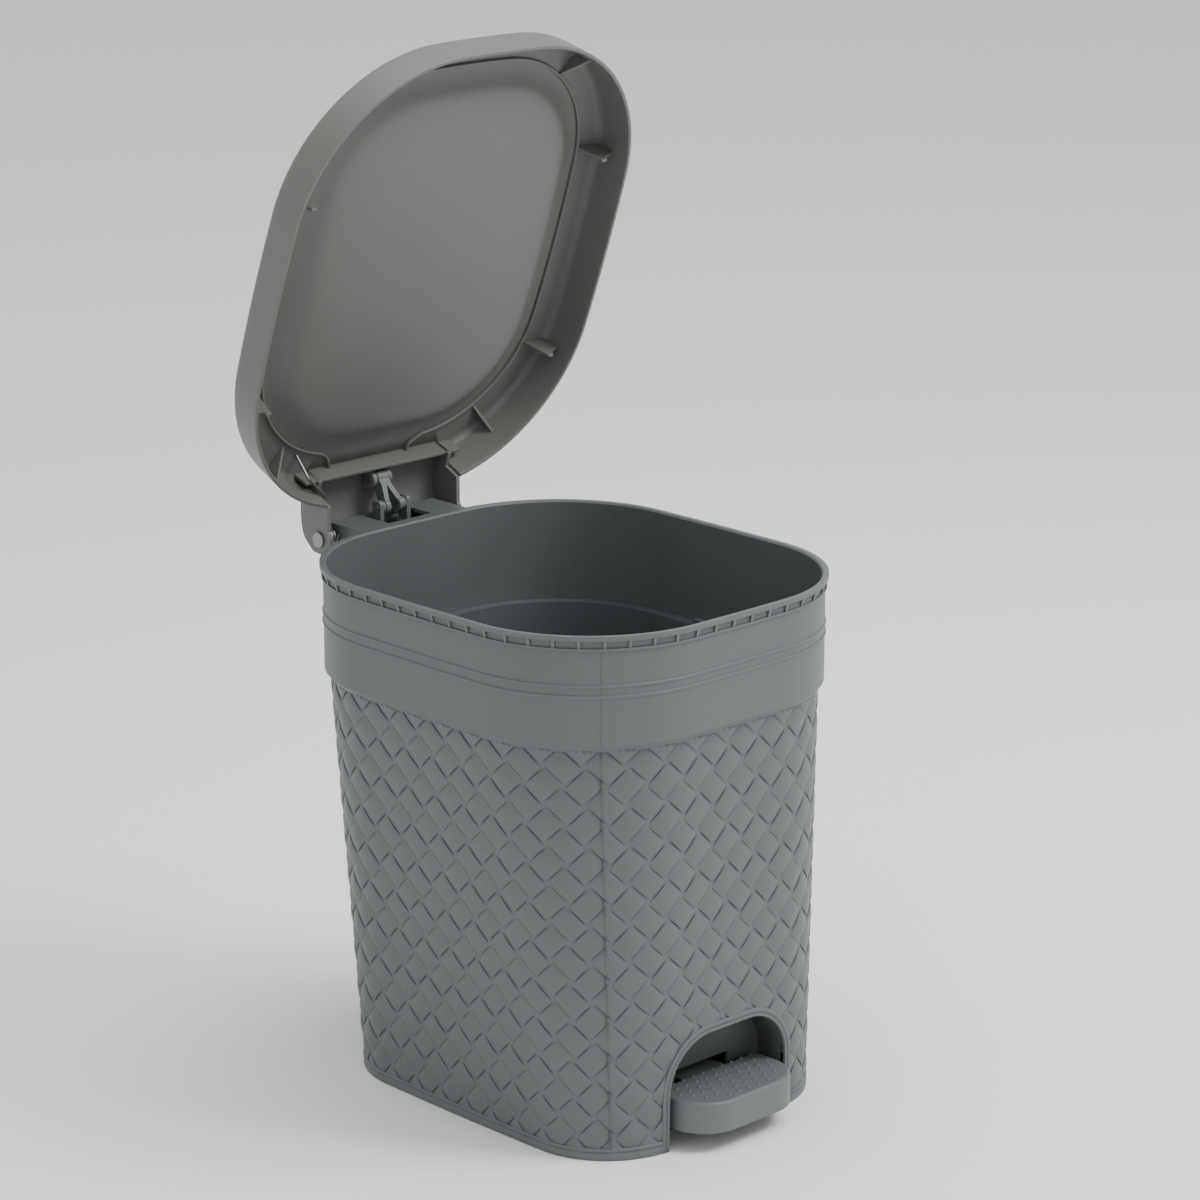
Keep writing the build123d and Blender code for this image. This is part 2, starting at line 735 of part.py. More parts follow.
with BuildPart() as lid:
    add(lid_form.part)
    loft(
        [dish_face(lid_height, 0), dish_face(lid_height - dish_depth, -dish_slope)],
        ruled=True,
        mode=Mode.SUBTRACT,
    )
    add(lid_hollow.part, mode=Mode.SUBTRACT)
    with BuildSketch(lid_level(-1)):
        with Locations((0, cross_wall_u + cheek_half_width)):
            Rectangle(2 * cheek_half_width, 2 * cheek_half_width)
    extrude(amount=lid_height + 2, mode=Mode.SUBTRACT)
    add(hood.part)
    add(bead.part)
    with BuildSketch(lid_side(-cross_wall_half_width)):
        with Locations((cross_wall_u, (cross_wall_low + lid_height - lid_wall / 2) / 2)):
            Rectangle(rib_thick, lid_height - lid_wall / 2 - cross_wall_low)
    extrude(amount=2 * cross_wall_half_width)
    add(webs.part)
    for side in (-1, 1):
        ear_low = side * (link_head_half_width + side_gap)
        ear_high = ear_low + side * boss_wall
        with BuildSketch(lid_side(min(ear_low, ear_high))):
            with Locations((boss_u, boss_h)):
                Circle(boss_round)
            Polygon(
                (boss_u - boss_round, boss_h),
                (boss_u + boss_round, boss_h),
                (boss_u + 9.0, boss_h + 2.4),
                (boss_u - 9.0, boss_h + 8.2),
                align=None,
            )
        extrude(amount=boss_wall)
        bar_x(ear_low - side, ear_high + side, link_pin_y, link_pin_z, upper_pin_radius, Mode.SUBTRACT)
        cheek_in = side * (cheek_half_width - cheek_thick - 1)
        bore = hinge_pin_radius + running_gap
        bar_x(cheek_in, side * (cheek_half_width + 1), hinge_y, hinge_z, bore, Mode.SUBTRACT)
finish(lid, "lid")

with BuildPart() as link_upper_pin:
    ear_face = link_head_half_width + side_gap + boss_wall
    bar_x(-ear_face, ear_face, link_pin_y, link_pin_z, upper_pin_radius)
    for side in (-1, 1):
        rivet_face = side * (ear_face + rivet_head)
        bar_x(side * ear_face, rivet_face, link_pin_y, link_pin_z, upper_pin_radius + rivet_head)
finish(link_upper_pin, "link_upper_pin")


def hinge_pin(side):
    """Headed pin pushed through a lid cheek into the hinge block."""
    head_face = side * (cheek_half_width + side_gap)
    with BuildPart() as pin:
        bar_x(side * hinge_pin_inner, head_face, hinge_y, hinge_z, hinge_pin_radius)
        bar_x(head_face, head_face + side * pin_head_thick, hinge_y, hinge_z, pin_head_radius)
        fillet(pin.edges().filter_by(GeomType.CIRCLE).sort_by(Axis.X)[-1 if side > 0 else 0], 0.6)
    return pin


finish(hinge_pin(-1), "hinge_pin_left")
finish(hinge_pin(1), "hinge_pin_right")

coil_start = -(cheek_half_width - cheek_thick - spring_wire - side_gap)
coil_plane = Plane(
    origin=(coil_start, hinge_y, hinge_z), x_dir=(0, sin(shut), cos(shut)), z_dir=(1, 0, 0)
)
leg_end = lid_height - lid_wall - spring_wire / 2
leg_points = [(coil_start + 1.0, -26.0, 10.2), (-66.0, -40.0, 12.0), (-67.5, -49.5, leg_end)]
with BuildPart() as lid_spring:
    coil = Helix(spring_pitch, spring_pitch * spring_turns, spring_coil, lefthand=True, mode=Mode.PRIVATE)
    with BuildLine() as coil_line:
        add(coil.moved(coil_plane.location))
    with BuildSketch(Plane(origin=coil_line.line @ 0, z_dir=coil_line.line % 0)):
        Circle(spring_wire)
    sweep(is_frenet=True)
    leg_start = coil_line.line @ 0 - (coil_line.line % 0) * leg_gap
    with BuildLine() as leg_line:
        FilletPolyline(
            leg_start, *[lid_level(0).from_local_coords(Vector(*point)) for point in leg_points], radius=3.0
        )
    with BuildSketch(Plane(origin=leg_line.line @ 0, z_dir=leg_line.line % 0)):
        Circle(spring_wire)
    sweep()
    with BuildSketch(Plane(origin=coil_line.line @ 1, z_dir=coil_line.line % 1)):
        Circle(spring_wire)
    extrude(amount=spring_coil)
finish(lid_spring, "lid_spring")


# ---------------------------------------------------------------- bucket and bail
def bucket_face(height, inset=0.0):
    """Section of the bucket at a height, inset from its outer face."""
    return wall_face(height, wall + bucket_gap + inset)


lip_top = inner_ledge + bucket_lip
bail_z = lip_top + bail_radius + running_gap
lug_x = bail_half_width - 2 * bail_radius - side_gap
bucket_half_width = rim_half_width - weave_top_inset - wall - bucket_gap
with BuildPart() as inner_bucket:
    loft([bucket_face(bucket_floor), bucket_face(inner_ledge)])
    extrude(band_face(inner_ledge, band_bore_inset + lip_gap), amount=bucket_lip)
    bucket_base = bucket_floor + bucket_wall
    loft([bucket_face(bucket_base, bucket_wall), bucket_face(lip_top, bucket_wall)], mode=Mode.SUBTRACT)
    for side in (-1, 1):
        near = side * lug_x
        far = side * (lug_x - lug_thick)
        root = side * (bucket_half_width - bucket_wall / 2)
        lug_base = inner_ledge - lug_depth
        block(
            (min(near, far), -lug_half_length, lug_base),
            (max(near, far), lug_half_length, bail_z + 2 * bail_radius),
        )
        block(
            (min(near, root), -lug_half_length, lug_base),
            (max(near, root), lug_half_length, inner_ledge - bail_radius),
        )
        bar_x(far - side, near + side, 0, bail_z, bail_radius + running_gap, Mode.SUBTRACT)
finish(inner_bucket, "inner_bucket")

bail_end = lug_x - lug_thick - 1.5
with BuildPart() as bucket_bail:
    with BuildLine(Plane.XY.offset(bail_z)) as bail_line:
        FilletPolyline(
            (-bail_end, 0),
            (-bail_half_width, 0),
            (-bail_half_width, bail_front),
            (bail_half_width, bail_front),
            (bail_half_width, 0),
            (bail_end, 0),
            radius=(2 * bail_radius, bail_corner, bail_corner, 2 * bail_radius),
        )
    with BuildSketch(Plane(origin=bail_line.line @ 0, z_dir=bail_line.line % 0)):
        Circle(bail_radius)
    sweep()
finish(bucket_bail, "bucket_bail")

with BuildPart() as bail_grip:
    bar_x(-grip_half_length, grip_half_length, bail_front, bail_z, grip_radius)
    fillet(bail_grip.edges().filter_by(GeomType.CIRCLE), 1.5)
    grip_end = grip_half_length + 1
    bar_x(-grip_end, grip_end, bail_front, bail_z, bail_radius + running_gap, Mode.SUBTRACT)
finish(bail_grip, "bail_grip")
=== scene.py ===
"""Looks of the pedal bin: woven relief, soft-edged lid, moulded details, finishes, light and camera."""

import json
import logging
import math
from dataclasses import dataclass, field, replace
from enum import Enum

import bmesh
import bpy
import numpy as np
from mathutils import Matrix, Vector

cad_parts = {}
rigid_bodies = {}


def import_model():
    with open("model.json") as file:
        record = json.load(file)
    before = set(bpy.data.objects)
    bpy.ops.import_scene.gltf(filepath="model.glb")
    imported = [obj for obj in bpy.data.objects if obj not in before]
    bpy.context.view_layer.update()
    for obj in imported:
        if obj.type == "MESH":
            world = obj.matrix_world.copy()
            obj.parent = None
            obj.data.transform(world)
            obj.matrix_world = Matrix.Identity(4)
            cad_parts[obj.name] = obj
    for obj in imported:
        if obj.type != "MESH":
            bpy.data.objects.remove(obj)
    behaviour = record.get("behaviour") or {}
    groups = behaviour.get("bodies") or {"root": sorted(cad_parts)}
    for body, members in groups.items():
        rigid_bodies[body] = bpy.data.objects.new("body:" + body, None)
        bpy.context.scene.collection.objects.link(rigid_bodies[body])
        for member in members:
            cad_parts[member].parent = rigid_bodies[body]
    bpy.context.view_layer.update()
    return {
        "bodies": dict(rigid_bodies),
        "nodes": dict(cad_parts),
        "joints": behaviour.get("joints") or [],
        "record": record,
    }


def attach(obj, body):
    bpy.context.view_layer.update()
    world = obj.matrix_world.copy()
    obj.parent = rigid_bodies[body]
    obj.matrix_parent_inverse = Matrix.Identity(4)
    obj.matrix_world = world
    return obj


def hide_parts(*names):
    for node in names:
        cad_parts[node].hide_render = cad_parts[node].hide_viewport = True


log = logging.getLogger("pedal_bin")

MM = 0.001


class Body(Enum):
    """Moving bodies that pieces ride on."""

    BIN = "bin"
    LID = "lid"
    PEDAL = "pedal"


class Slot(Enum):
    """Material slots of the record."""

    BODY = "body_plastic"
    PEDAL = "pedal_plastic"
    LID = "lid_plastic"
    BUCKET = "bucket_plastic"
    STEEL = "steel"


# ------------------------------------------------------------------------------ outlines and walls
@dataclass(frozen=True)
class Outline:
    """Rounded rectangle whose four sides bow outwards, in millimetres."""

    half_width: float
    half_depth: float
    corner: float
    bulge: float
    centre_y: float = 0.0

    def grown(self, by: float) -> "Outline":
        """The same outline offset outwards.

        Args:
            by: Distance in millimetres, negative to shrink.

        Returns:
            The offset outline.
        """
        return replace(
            self, half_width=self.half_width + by, half_depth=self.half_depth + by, corner=self.corner + by
        )

    def arcs(self) -> np.ndarray:
        """Nine arcs that run round the outline from the middle of its front.

        Returns:
            Rows of centre x, centre y, radius, start angle and end angle.
        """
        side_radius = (self.half_depth**2 + self.bulge**2) / (2 * self.bulge)
        end_radius = (self.half_width**2 + self.bulge**2) / (2 * self.bulge)
        side_x = self.half_width - side_radius
        end_y = self.half_depth - end_radius
        corner_x, corner_y = self.half_width - self.corner, self.half_depth - self.corner
        for _ in range(40):
            corner_x = math.sqrt((side_radius - self.corner) ** 2 - corner_y**2) + side_x
            corner_y = math.sqrt((end_radius - self.corner) ** 2 - corner_x**2) + end_y
        low = math.atan2(corner_y, corner_x - side_x)
        high = math.atan2(corner_y - end_y, corner_x)
        pi = math.pi
        rows = [
            (0, -end_y, end_radius, -pi / 2, -high),
            (corner_x, -corner_y, self.corner, -high, -low),
            (side_x, 0, side_radius, -low, low),
            (corner_x, corner_y, self.corner, low, high),
            (0, end_y, end_radius, high, pi - high),
            (-corner_x, corner_y, self.corner, pi - high, pi - low),
            (-side_x, 0, side_radius, pi - low, pi + low),
            (-corner_x, -corner_y, self.corner, pi + low, pi + high),
            (0, -end_y, end_radius, pi + high, 1.5 * pi),
        ]
        made = np.array(rows, float)
        made[:, 1] += self.centre_y
        return made

    def length(self) -> float:
        """Length round the outline, in millimetres."""
        rows = self.arcs()
        return float((rows[:, 2] * (rows[:, 4] - rows[:, 3])).sum())


def locate(rows: np.ndarray, share: np.ndarray, out: np.ndarray) -> np.ndarray:
    """Points at shares of the way round outlines, pushed outwards.

    Args:
        rows: Arcs for each point, of shape (points, 9, 5).
        share: Shares of the way round, from 0 to 1.
        out: Distances outwards in millimetres.

    Returns:
        Points of shape (points, 2).
    """
    spans = rows[:, :, 2] * (rows[:, :, 4] - rows[:, :, 3])
    ends = np.cumsum(spans, axis=1)
    run = (share % 1.0) * ends[:, -1]
    index = np.minimum((run[:, None] >= ends).sum(axis=1), 8)
    pick = np.arange(len(run))
    start = ends[pick, index] - spans[pick, index]
    chosen = rows[pick, index]
    part = (run - start) / spans[pick, index]
    angle = chosen[:, 3] + part * (chosen[:, 4] - chosen[:, 3])
    reach = chosen[:, 2] + out
    return np.stack([chosen[:, 0] + reach * np.cos(angle), chosen[:, 1] + reach * np.sin(angle)], axis=1)


@dataclass(frozen=True)
class Wall:
    """Wall that runs between two outlines at two heights, in millimetres."""

    low: Outline
    high: Outline
    low_z: float
    high_z: float

    def at(self, height: float) -> Outline:
        """Outline of the wall at a height."""
        part = (height - self.low_z) / (self.high_z - self.low_z)
        values = {
            name: getattr(self.low, name) + (getattr(self.high, name) - getattr(self.low, name)) * part
            for name in ("half_width", "half_depth", "corner", "bulge", "centre_y")
        }
        return Outline(**values)

    def wrap(self, flat: np.ndarray) -> np.ndarray:
        """Lays flat points on the wall.

        Args:
            flat: Rows of share of the way round, height and distance outwards, the last two in millimetres.

        Returns:
            Rows of x, y and z in millimetres.
        """
        levels = np.linspace(self.low_z - 5, self.high_z + 5, 61)
        table = np.stack([self.at(level).arcs() for level in levels])
        spot = np.clip((flat[:, 1] - levels[0]) / (levels[1] - levels[0]), 0, len(levels) - 1.001)
        base = spot.astype(int)
        blend = (spot - base)[:, None, None]
        rows = table[base] * (1 - blend) + table[base + 1] * blend
        plan = locate(rows, flat[:, 0], flat[:, 2])
        return np.column_stack([plan, flat[:, 1]])


RIM = Outline(129.7, 145.6, 92.6, 4.3)
BAND = RIM.grown(-2.0)
STEP_FOOT = 258.0
BAND_BOTTOM = 263.2
WOVEN = Wall(Outline(103.6, 125.8, 55.0, 3.0, -8.9), RIM.grown(-6.5), 0.0, STEP_FOOT)
BANDED = Wall(BAND, BAND, BAND_BOTTOM, 327.0)


# ------------------------------------------------------------------------------ mesh helpers
def new_object(name: str, points: np.ndarray, faces: list, smooth: bool = True) -> bpy.types.Object:
    """Makes a mesh object from points in millimetres.

    Args:
        name: Object name.
        points: Rows of x, y and z in millimetres.
        faces: Lists of point numbers.
        smooth: Whether faces shade smoothly.

    Returns:
        The linked object.
    """
    mesh = bpy.data.meshes.new(name)
    mesh.from_pydata((np.asarray(points, float) * MM).tolist(), [], [list(map(int, f)) for f in faces])
    mesh.validate()
    mesh.polygons.foreach_set("use_smooth", [smooth] * len(mesh.polygons))
    made = bpy.data.objects.new(name, mesh)
    bpy.context.scene.collection.objects.link(made)
    return made


def tube(rings: list, closed: bool) -> tuple:
    """Joins rings of equal size into a tube.

    Args:
        rings: Arrays of points, each a closed section.
        closed: Whether the last ring meets the first; otherwise both ends are capped.

    Returns:
        Points and faces.
    """
    count = len(rings[0])
    points = np.concatenate(rings)
    faces = []
    last = len(rings) if closed else len(rings) - 1
    for r in range(last):
        a, b = r * count, ((r + 1) % len(rings)) * count
        for k in range(count):
            n = (k + 1) % count
            faces.append((a + k, a + n, b + n, b + k))
    if not closed:
        faces.append(tuple(range(count))[::-1])
        faces.append(tuple(range((len(rings) - 1) * count, len(rings) * count)))
    return points, faces


def outward(made: bpy.types.Object) -> bpy.types.Object:
    """Turns every face of a closed mesh outwards."""

    work = bmesh.new()
    work.from_mesh(made.data)
    bmesh.ops.recalc_face_normals(work, faces=work.faces)
    work.to_mesh(made.data)
    work.free()
    return made


def bevel(made: bpy.types.Object, width: float, segments: int = 2, angle: float = 35.0) -> bpy.types.Object:
    """Rounds the sharp edges of a piece.

    Args:
        made: The piece.
        width: Bevel width in millimetres.
        segments: Number of segments.
        angle: Smallest edge angle that is rounded, in degrees.

    Returns:
        The same piece.
    """
    step = made.modifiers.new("Edges", "BEVEL")
    step.width = width * MM
    step.segments = segments
    step.limit_method = "ANGLE"
    step.angle_limit = math.radians(angle)
    step.harden_normals = False
    return made


def baked(made: bpy.types.Object) -> bpy.types.Object:
    """Applies a piece's modifiers to its mesh."""
    graph = bpy.context.evaluated_depsgraph_get()
    result = bpy.data.meshes.new_from_object(made.evaluated_get(graph))
    made.modifiers.clear()
    made.data = result
    return made


def joined(name: str, pieces: list) -> bpy.types.Object:
    """Joins several pieces into one object."""
    bpy.ops.object.select_all(action="DESELECT")
    for piece in pieces:
        piece.select_set(True)
    bpy.context.view_layer.objects.active = pieces[0]
    bpy.ops.object.join()
    pieces[0].name = name
    pieces[0].data.name = name
    return pieces[0]


def prism(name: str, outline: list, start: float, end: float) -> bpy.types.Object:
    """Closed prism of a polygon in the lid's side plane, from one x to another.

    Args:
        name: Object name.
        outline: Points (u, h) in millimetres, as the lid lies when shut.
        start: Lower x in millimetres.
        end: Upper x in millimetres.

    Returns:
        The prism, placed on the open lid.
    """
    count = len(outline)
    points = [(x, u, h) for x in (start, end) for u, h in outline]
    faces = [tuple(range(count)), tuple(range(count, 2 * count))[::-1]]
    faces += [(k, (k + 1) % count, count + (k + 1) % count, count + k) for k in range(count)]
    return outward(new_object(name, open_lid(np.array(points, float)), faces, smooth=False))


LID_OPEN = math.radians(70.0)
HINGE = (173.0, 322.0)


def open_lid(shut: np.ndarray) -> np.ndarray:
    """Places points of the shut lid (x, u back from the hinge, h up from it) on the open lid."""
    x, u, h = shut[:, 0], shut[:, 1], shut[:, 2]
    y = HINGE[0] + u * math.cos(LID_OPEN) + h * math.sin(LID_OPEN)
    z = HINGE[1] - u * math.sin(LID_OPEN) + h * math.cos(LID_OPEN)
    return np.column_stack([x, y, z])


# ------------------------------------------------------------------------------ node trees
class Tree:
    """Small builder for a node tree."""

    def __init__(self, tree: bpy.types.NodeTree) -> None:
        self.tree = tree

    def node(self, kind: str, **settings) -> bpy.types.Node:
        """Adds a node.

        Args:
            kind: Blender's node type name.
            **settings: Properties to set on it.

        Returns:
            The node.
        """
        made = self.tree.nodes.new(kind)
        for name, value in settings.items():
            setattr(made, name, value)
        return made

    def link(self, source: bpy.types.NodeSocket, target: bpy.types.NodeSocket) -> None:
        """Joins two sockets."""
        self.tree.links.new(source, target)

    def math(self, operation: str, first, second=None) -> bpy.types.NodeSocket:
        """Adds a math node with constants or sockets as inputs."""
        made = self.node("ShaderNodeMath", operation=operation)
        for place, value in enumerate((first, second)):
            if value is None:
                continue
            if isinstance(value, (int, float)):
                made.inputs[place].default_value = value
            else:
                self.link(value, made.inputs[place])
        return made.outputs[0]


def painted_niche_shade(t: Tree, place: bpy.types.Node, given: bpy.types.Node) -> bpy.types.NodeSocket:
    """Painted shade that deepens towards the back of the pedal niche, set by place in the bin's frame.

    Args:
        t: Tree of the plastic group.
        place: Texture coordinate node.
        given: Group input node, whose Recess input is the strength.

    Returns:
        A factor for the colour's value.
    """
    parts = t.node("ShaderNodeSeparateXYZ")
    t.link(place.outputs["Object"], parts.inputs["Vector"])
    deep = t.node("ShaderNodeMapRange", clamp=True, interpolation_type="SMOOTHSTEP")
    deep.inputs["From Min"].default_value = -0.1345
    deep.inputs["From Max"].default_value = -0.1205
    t.link(parts.outputs["Y"], deep.inputs["Value"])
    before = t.math("LESS_THAN", parts.outputs["Y"], -0.100)
    across = t.math("LESS_THAN", t.math("ABSOLUTE", parts.outputs["X"]), 0.0500)
    low = t.math("LESS_THAN", parts.outputs["Z"], 0.0690)
    inside = t.math("MULTIPLY", t.math("MULTIPLY", before, across), low)
    shade = t.math("MULTIPLY", t.math("MULTIPLY", inside, deep.outputs["Result"]), given.outputs["Recess"])
    return t.math("SUBTRACT", 1.0, shade)


def plastic_group() -> bpy.types.NodeTree:
    """Node group of moulded plastic: mottled colour, varied roughness, leather-like grain, worn edges and
    painted shade at the back of the pedal niche.
    """
    group = bpy.data.node_groups.new("Moulded plastic", "ShaderNodeTree")
    face = group.interface
    wanted = (
        ("Base", "NodeSocketColor", (0.2, 0.2, 0.2, 1)),
        ("Grain scale", "NodeSocketFloat", 900.0),
        ("Grain height", "NodeSocketFloat", 0.2),
        ("Mottle", "NodeSocketFloat", 0.06),
        ("Roughness", "NodeSocketFloat", 0.5),
        ("Wear", "NodeSocketFloat", 0.25),
        # strength of the painted shade towards the back of the pedal niche
        ("Recess", "NodeSocketFloat", 0.0),
    )
    for name, kind, value in wanted:
        face.new_socket(name, in_out="INPUT", socket_type=kind).default_value = value
    face.new_socket("Color", in_out="OUTPUT", socket_type="NodeSocketColor")
    face.new_socket("Roughness", in_out="OUTPUT", socket_type="NodeSocketFloat")
    face.new_socket("Normal", in_out="OUTPUT", socket_type="NodeSocketVector")
    t = Tree(group)
    given = t.node("NodeGroupInput")
    result = t.node("NodeGroupOutput")
    place = t.node("ShaderNodeTexCoord")

    cloud = t.node("ShaderNodeTexNoise")
    cloud.inputs["Scale"].default_value = 14.0
    cloud.inputs["Detail"].default_value = 5.0
    t.link(place.outputs["Object"], cloud.inputs["Vector"])
    streak_place = t.node("ShaderNodeMapping")
    streak_place.inputs["Scale"].default_value = (30.0, 30.0, 6.0)
    t.link(place.outputs["Object"], streak_place.inputs["Vector"])
    streak = t.node("ShaderNodeTexNoise")
    streak.inputs["Scale"].default_value = 1.0
    streak.inputs["Detail"].default_value = 3.0
    t.link(streak_place.outputs["Vector"], streak.inputs["Vector"])
    both = t.math("ADD", cloud.outputs["Fac"], streak.outputs["Fac"])
    centred = t.math("SUBTRACT", both, 1.0)
    amount = t.math("MULTIPLY", centred, given.outputs["Mottle"])

    edge = t.node("ShaderNodeNewGeometry")
    worn = t.node("ShaderNodeMapRange", clamp=True)
    worn.inputs["From Min"].default_value = 0.52
    worn.inputs["From Max"].default_value = 0.62
    t.link(edge.outputs["Pointiness"], worn.inputs["Value"])
    rub = t.math("MULTIPLY", worn.outputs["Result"], given.outputs["Wear"])
    bright = t.math("ADD", amount, t.math("MULTIPLY", rub, 0.5))
    value = t.math("ADD", bright, 1.0)
    tint = t.node("ShaderNodeHueSaturation")
    tint.inputs["Hue"].default_value = 0.5
    tint.inputs["Saturation"].default_value = 1.0
    t.link(given.outputs["Base"], tint.inputs["Color"])
    # painted shade: the colour's value darkens towards the back of the pedal niche
    t.link(t.math("MULTIPLY", value, painted_niche_shade(t, place, given)), tint.inputs["Value"])
    t.link(tint.outputs["Color"], result.inputs["Color"])

    rough = t.math("ADD", given.outputs["Roughness"], t.math("MULTIPLY", centred, 0.12))
    t.link(t.math("SUBTRACT", rough, t.math("MULTIPLY", rub, 0.1)), result.inputs["Roughness"])

    cells = t.node("ShaderNodeTexVoronoi", feature="SMOOTH_F1")
    t.link(place.outputs["Object"], cells.inputs["Vector"])
    t.link(given.outputs["Grain scale"], cells.inputs["Scale"])
    fine = t.node("ShaderNodeTexNoise")
    fine.inputs["Detail"].default_value = 2.0
    t.link(place.outputs["Object"], fine.inputs["Vector"])
    t.link(t.math("MULTIPLY", given.outputs["Grain scale"], 1.9), fine.inputs["Scale"])
    height = t.math("ADD", cells.outputs["Distance"], t.math("MULTIPLY", fine.outputs["Fac"], 0.6))
    bump = t.node("ShaderNodeBump")
    bump.inputs["Distance"].default_value = 0.00025
    t.link(given.outputs["Grain height"], bump.inputs["Strength"])
    t.link(height, bump.inputs["Height"])
    t.link(bump.outputs["Normal"], result.inputs["Normal"])
    return group


@dataclass(frozen=True)
class PlasticFinish:
    """Moulded plastic finish, with optional painted shade towards the back of the pedal niche."""

    name: str
    base: tuple
    roughness: float
    grain_scale: float
    grain_height: float
    mottle: float = 0.06
    wear: float = 0.25
    # strength of the painted shade towards the back of the pedal niche
    painted_shade: float = 0.0

    def build(self) -> bpy.types.Material:
        """Makes the material.

        Returns:
            A material whose Principled node reads the moulded-plastic group.
        """
        made = bpy.data.materials.new(self.name)
        made.use_nodes = True
        t = Tree(made.node_tree)
        shader = made.node_tree.nodes["Principled BSDF"]
        group = t.node("ShaderNodeGroup")
        group.node_tree = bpy.data.node_groups.get("Moulded plastic") or plastic_group()
        group.inputs["Base"].default_value = (*self.base, 1)
        group.inputs["Grain scale"].default_value = self.grain_scale
        group.inputs["Grain height"].default_value = self.grain_height
        group.inputs["Mottle"].default_value = self.mottle
        group.inputs["Roughness"].default_value = self.roughness
        group.inputs["Wear"].default_value = self.wear
        group.inputs["Recess"].default_value = self.painted_shade
        t.link(group.outputs["Color"], shader.inputs["Base Color"])
        t.link(group.outputs["Roughness"], shader.inputs["Roughness"])
        t.link(group.outputs["Normal"], shader.inputs["Normal"])
        shader.inputs["IOR"].default_value = 1.49
        shader.inputs["Specular IOR Level"].default_value = 0.45
        return made


@dataclass(frozen=True)
class SteelFinish:
    """Drawn steel finish with fine streaks and dull spots."""

    name: str
    base: tuple
    roughness: float

    def build(self) -> bpy.types.Material:
        """Makes the material.

        Returns:
            A metallic material with streaked colour and roughness.
        """
        made = bpy.data.materials.new(self.name)
        made.use_nodes = True
        t = Tree(made.node_tree)
        shader = made.node_tree.nodes["Principled BSDF"]
        place = t.node("ShaderNodeTexCoord")
        spots = t.node("ShaderNodeTexNoise")
        spots.inputs["Scale"].default_value = 450.0
        spots.inputs["Detail"].default_value = 4.0
        t.link(place.outputs["Object"], spots.inputs["Vector"])
        ramp = t.node("ShaderNodeMapRange")
        ramp.inputs["To Min"].default_value = self.roughness - 0.08
        ramp.inputs["To Max"].default_value = self.roughness + 0.14
        t.link(spots.outputs["Fac"], ramp.inputs["Value"])
        t.link(ramp.outputs["Result"], shader.inputs["Roughness"])
        tint = t.node("ShaderNodeHueSaturation")
        tint.inputs["Color"].default_value = (*self.base, 1)
        t.link(t.math("ADD", t.math("MULTIPLY", spots.outputs["Fac"], 0.3), 0.85), tint.inputs["Value"])
        t.link(tint.outputs["Color"], shader.inputs["Base Color"])
        bump = t.node("ShaderNodeBump")
        bump.inputs["Distance"].default_value = 0.00005
        bump.inputs["Strength"].default_value = 0.4
        t.link(spots.outputs["Fac"], bump.inputs["Height"])
        t.link(bump.outputs["Normal"], shader.inputs["Normal"])
        shader.inputs["Metallic"].default_value = 1.0
        return made


FINISHES = {
    # the body's colour carries painted shade, darker towards the back of the pedal niche
    Slot.BODY: PlasticFinish("Body plastic", (0.106, 0.117, 0.120), 0.50, 900.0, 0.24, painted_shade=0.40),
    Slot.PEDAL: PlasticFinish("Pedal plastic", (0.118, 0.129, 0.132), 0.48, 1000.0, 0.16),
    Slot.LID: PlasticFinish("Lid plastic", (0.136, 0.134, 0.127), 0.50, 1000.0, 0.12, 0.05),
    Slot.BUCKET: PlasticFinish("Bucket plastic", (0.084, 0.094, 0.098), 0.42, 700.0, 0.05, 0.04),
    Slot.STEEL: SteelFinish("Drawn steel", (0.30, 0.30, 0.29), 0.38),
}


@dataclass
class Finishes:
    """The finishes, made once and handed out by slot."""

    made: dict = field(default_factory=dict)

    def of(self, slot: Slot) -> bpy.types.Material:
        """Material of a slot."""
        if slot not in self.made:
            self.made[slot] = FINISHES[slot].build()
        return self.made[slot]

    def dress(self, piece: bpy.types.Object, slot: Slot) -> bpy.types.Object:
        """Gives a piece the material of a slot."""
        piece.data.materials.clear()
        piece.data.materials.append(self.of(slot))
        return piece

    def dress_frame(self, frame: dict) -> None:
        """Gives every carried-over node its slot's material."""
        slots = {entry["node"]: entry["material_slot"] for entry in frame["record"]["subparts"]}
        for node, piece in frame["nodes"].items():
            piece.data.materials.clear()
            piece.data.materials.append(self.of(Slot(slots[node])))


